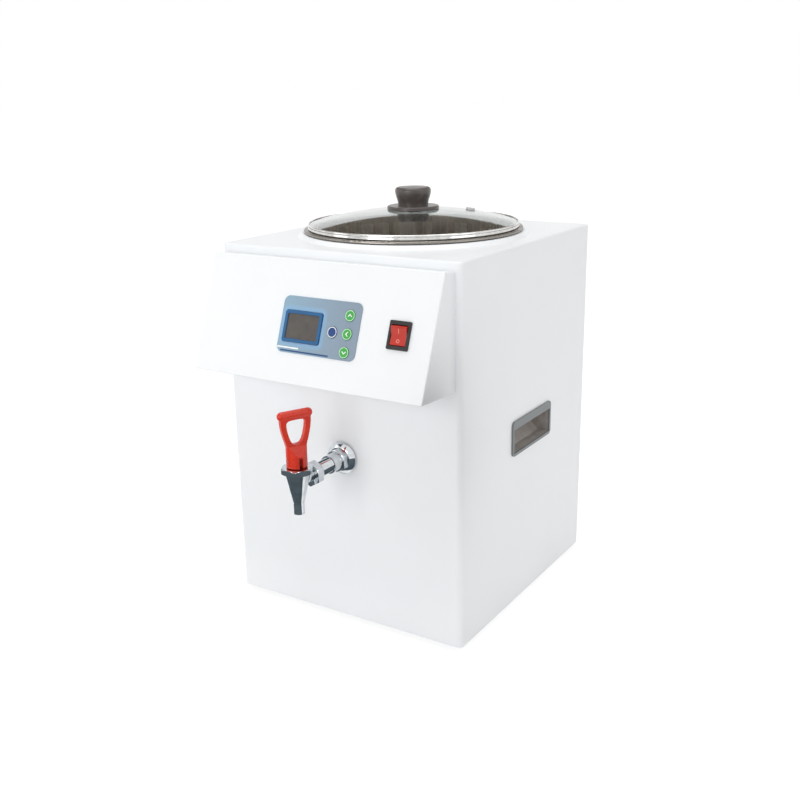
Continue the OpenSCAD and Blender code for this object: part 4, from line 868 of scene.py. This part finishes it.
class DISPENSER_OT_stage(bpy.types.Operator):
    """Sets the floor, the soft lamps, the white surround and the camera"""
    bl_idname = "dispenser.stage"
    bl_label = "Stage"

    def execute(self, context):
        scene = context.scene
        scene.view_settings.view_transform = "Standard"
        self.floor()
        self.surround(scene)
        for name, at, size, power in LAMPS:
            lamp = bpy.data.lights.new(name, "AREA")
            lamp.shape = "SQUARE"
            lamp.size = size
            lamp.energy = power
            holder = bpy.data.objects.new(name, lamp)
            scene.collection.objects.link(holder)
            holder.location = at
            holder.rotation_euler = (AIM - Vector(at)).to_track_quat("-Z", "Y").to_euler()
        for row in CARDS:
            self.card(*row)
        self.camera(scene)
        return {"FINISHED"}

    def seen(self, tree):
        """One for rays of the camera, mirrors and glass, and zero for the rays that light things."""
        rays = add(tree, "ShaderNodeLightPath").outputs
        share = rays["Is Camera Ray"]
        for ray in ("Is Glossy Ray", "Is Transmission Ray"):
            both = {0: share, 1: rays[ray]}
            share = add(tree, "ShaderNodeMath", both, operation="ADD", use_clamp=True).outputs[0]
        return share

    def sheet(self, name, width, height, look, z=0.0):
        """A flat sheet in the scene with its material."""
        corners = ((-1, -1), (1, -1), (1, 1), (-1, 1))
        bm = bmesh.new()
        bm.faces.new([bm.verts.new((x * width / 2, y * height / 2, z)) for x, y in corners])
        mesh = bpy.data.meshes.new(name)
        bm.to_mesh(mesh)
        bm.free()
        mesh.materials.append(look)
        obj = bpy.data.objects.new(name, mesh)
        bpy.context.scene.collection.objects.link(obj)
        return obj

    def floor(self):
        # Seamless white paper: matte; the camera and mirrors see it white, with the object's shadow on it
        material, tree, shader = surface("Seamless paper", {"Roughness": 0.9, "Emission Color": (1, 1, 1, 1)})
        seen = self.seen(tree)
        paper = tint(tree, pattern(tree, 300 * MM), linear("#F0F0F0"), linear("#F4F4F4"))
        mixed = add(tree, "ShaderNodeMix", {0: seen, 6: paper, 7: rgba(linear("#A4A4A4"))}, data_type="RGBA")
        tree.links.new(mixed.outputs[2], shader.inputs["Base Color"])
        glow = add(tree, "ShaderNodeMapRange", {0: seen, 3: 0.0, 4: 0.78}).outputs[0]
        tree.links.new(glow, shader.inputs["Emission Strength"])
        floor = self.sheet("Floor", FLOOR_SIDE, FLOOR_SIDE, material, CAD_BOX[0].z)

    def surround(self, scene):
        """A world that lights softly, and that the camera, mirrors and glass see as plain white."""
        world = bpy.data.worlds.new("White surround")
        world.use_nodes = True
        tree = world.node_tree
        tree.nodes.clear()
        strength = add(tree, "ShaderNodeMapRange", {0: self.seen(tree), 3: 0.62, 4: 1.0}).outputs[0]
        back = add(tree, "ShaderNodeBackground", {"Color": (1, 1, 1, 1), "Strength": strength})
        add(tree, "ShaderNodeOutputWorld", {"Surface": back.outputs[0]})
        scene.world = world

    def card(self, name, at, face, width, height, code, unseen):
        """A dark card, as a photographer sets one for bright metal or to hold back light."""
        # Felt: matt, and slightly clouded
        material, tree, shader = surface(name, {"Roughness": 0.9})
        felt = tint(tree, pattern(tree, 40 * MM), scaled(linear(code), 0.85), scaled(linear(code), 1.15))
        tree.links.new(felt, shader.inputs["Base Color"])
        card = self.sheet(name, width, height, material)
        card.location = at
        card.rotation_euler = Vector(face).to_track_quat("Z", "Y").to_euler()
        for ray in unseen:
            setattr(card, "visible_" + ray, False)

    def camera(self, scene):
        """The photograph's camera: it looks from its place along its turn, lift and roll."""
        data = bpy.data.cameras.new("Camera")
        data.sensor_width = SENSOR_WIDTH
        data.sensor_fit = "HORIZONTAL"
        data.lens = FOCAL_LENGTH
        data.clip_end = 100
        camera = bpy.data.objects.new("Camera", data)
        scene.collection.objects.link(camera)
        turn, lift, roll = CAMERA_TURN, CAMERA_LIFT, CAMERA_ROLL
        back = Vector((math.sin(turn) * math.cos(lift), -math.cos(turn) * math.cos(lift), math.sin(lift)))
        right = Vector((0, 0, 1)).cross(back).normalized()
        up = back.cross(right)
        across = right * math.cos(roll) + up * math.sin(roll)
        upright = up * math.cos(roll) - right * math.sin(roll)
        pose = Matrix((across, upright, back)).transposed().to_4x4()
        camera.matrix_world = Matrix.Translation(CAMERA_PLACE) @ pose
        scene.camera = camera


OPERATORS = (DISPENSER_OT_finishes, DISPENSER_OT_cabinet, DISPENSER_OT_tank, DISPENSER_OT_lid,
             DISPENSER_OT_head, DISPENSER_OT_switch, DISPENSER_OT_tap, DISPENSER_OT_lever,
             DISPENSER_OT_grips, DISPENSER_OT_electrics, DISPENSER_OT_stage)


class DISPENSER_PT_panel(bpy.types.Panel):
    """Lists the sizes, the colours and the operators"""
    bl_idname = "DISPENSER_PT_panel"
    bl_label = "Paraffin dispenser"
    bl_space_type = "VIEW_3D"
    bl_region_type = "UI"
    bl_category = "Dispenser"

    def draw(self, context):
        for group in (context.scene.dispenser_colours, context.scene.dispenser_sizes):
            for name in group.__annotations__:
                self.layout.prop(group, name)
        for operator in OPERATORS:
            self.layout.operator(operator.bl_idname)


CLASSES = (DispenserColours, DispenserSizes, *OPERATORS, DISPENSER_PT_panel)


def register():
    for cls in CLASSES:
        bpy.utils.register_class(cls)
    bpy.types.Scene.dispenser_colours = PointerProperty(type=DispenserColours)
    bpy.types.Scene.dispenser_sizes = PointerProperty(type=DispenserSizes)


def unregister():
    del bpy.types.Scene.dispenser_sizes
    del bpy.types.Scene.dispenser_colours
    for cls in reversed(CLASSES):
        bpy.utils.unregister_class(cls)


def main():
    """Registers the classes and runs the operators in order."""
    register()
    for operator in OPERATORS:
        group, name = operator.bl_idname.split(".")
        getattr(getattr(bpy.ops, group), name)()


if __name__ == "__main__":
    main()
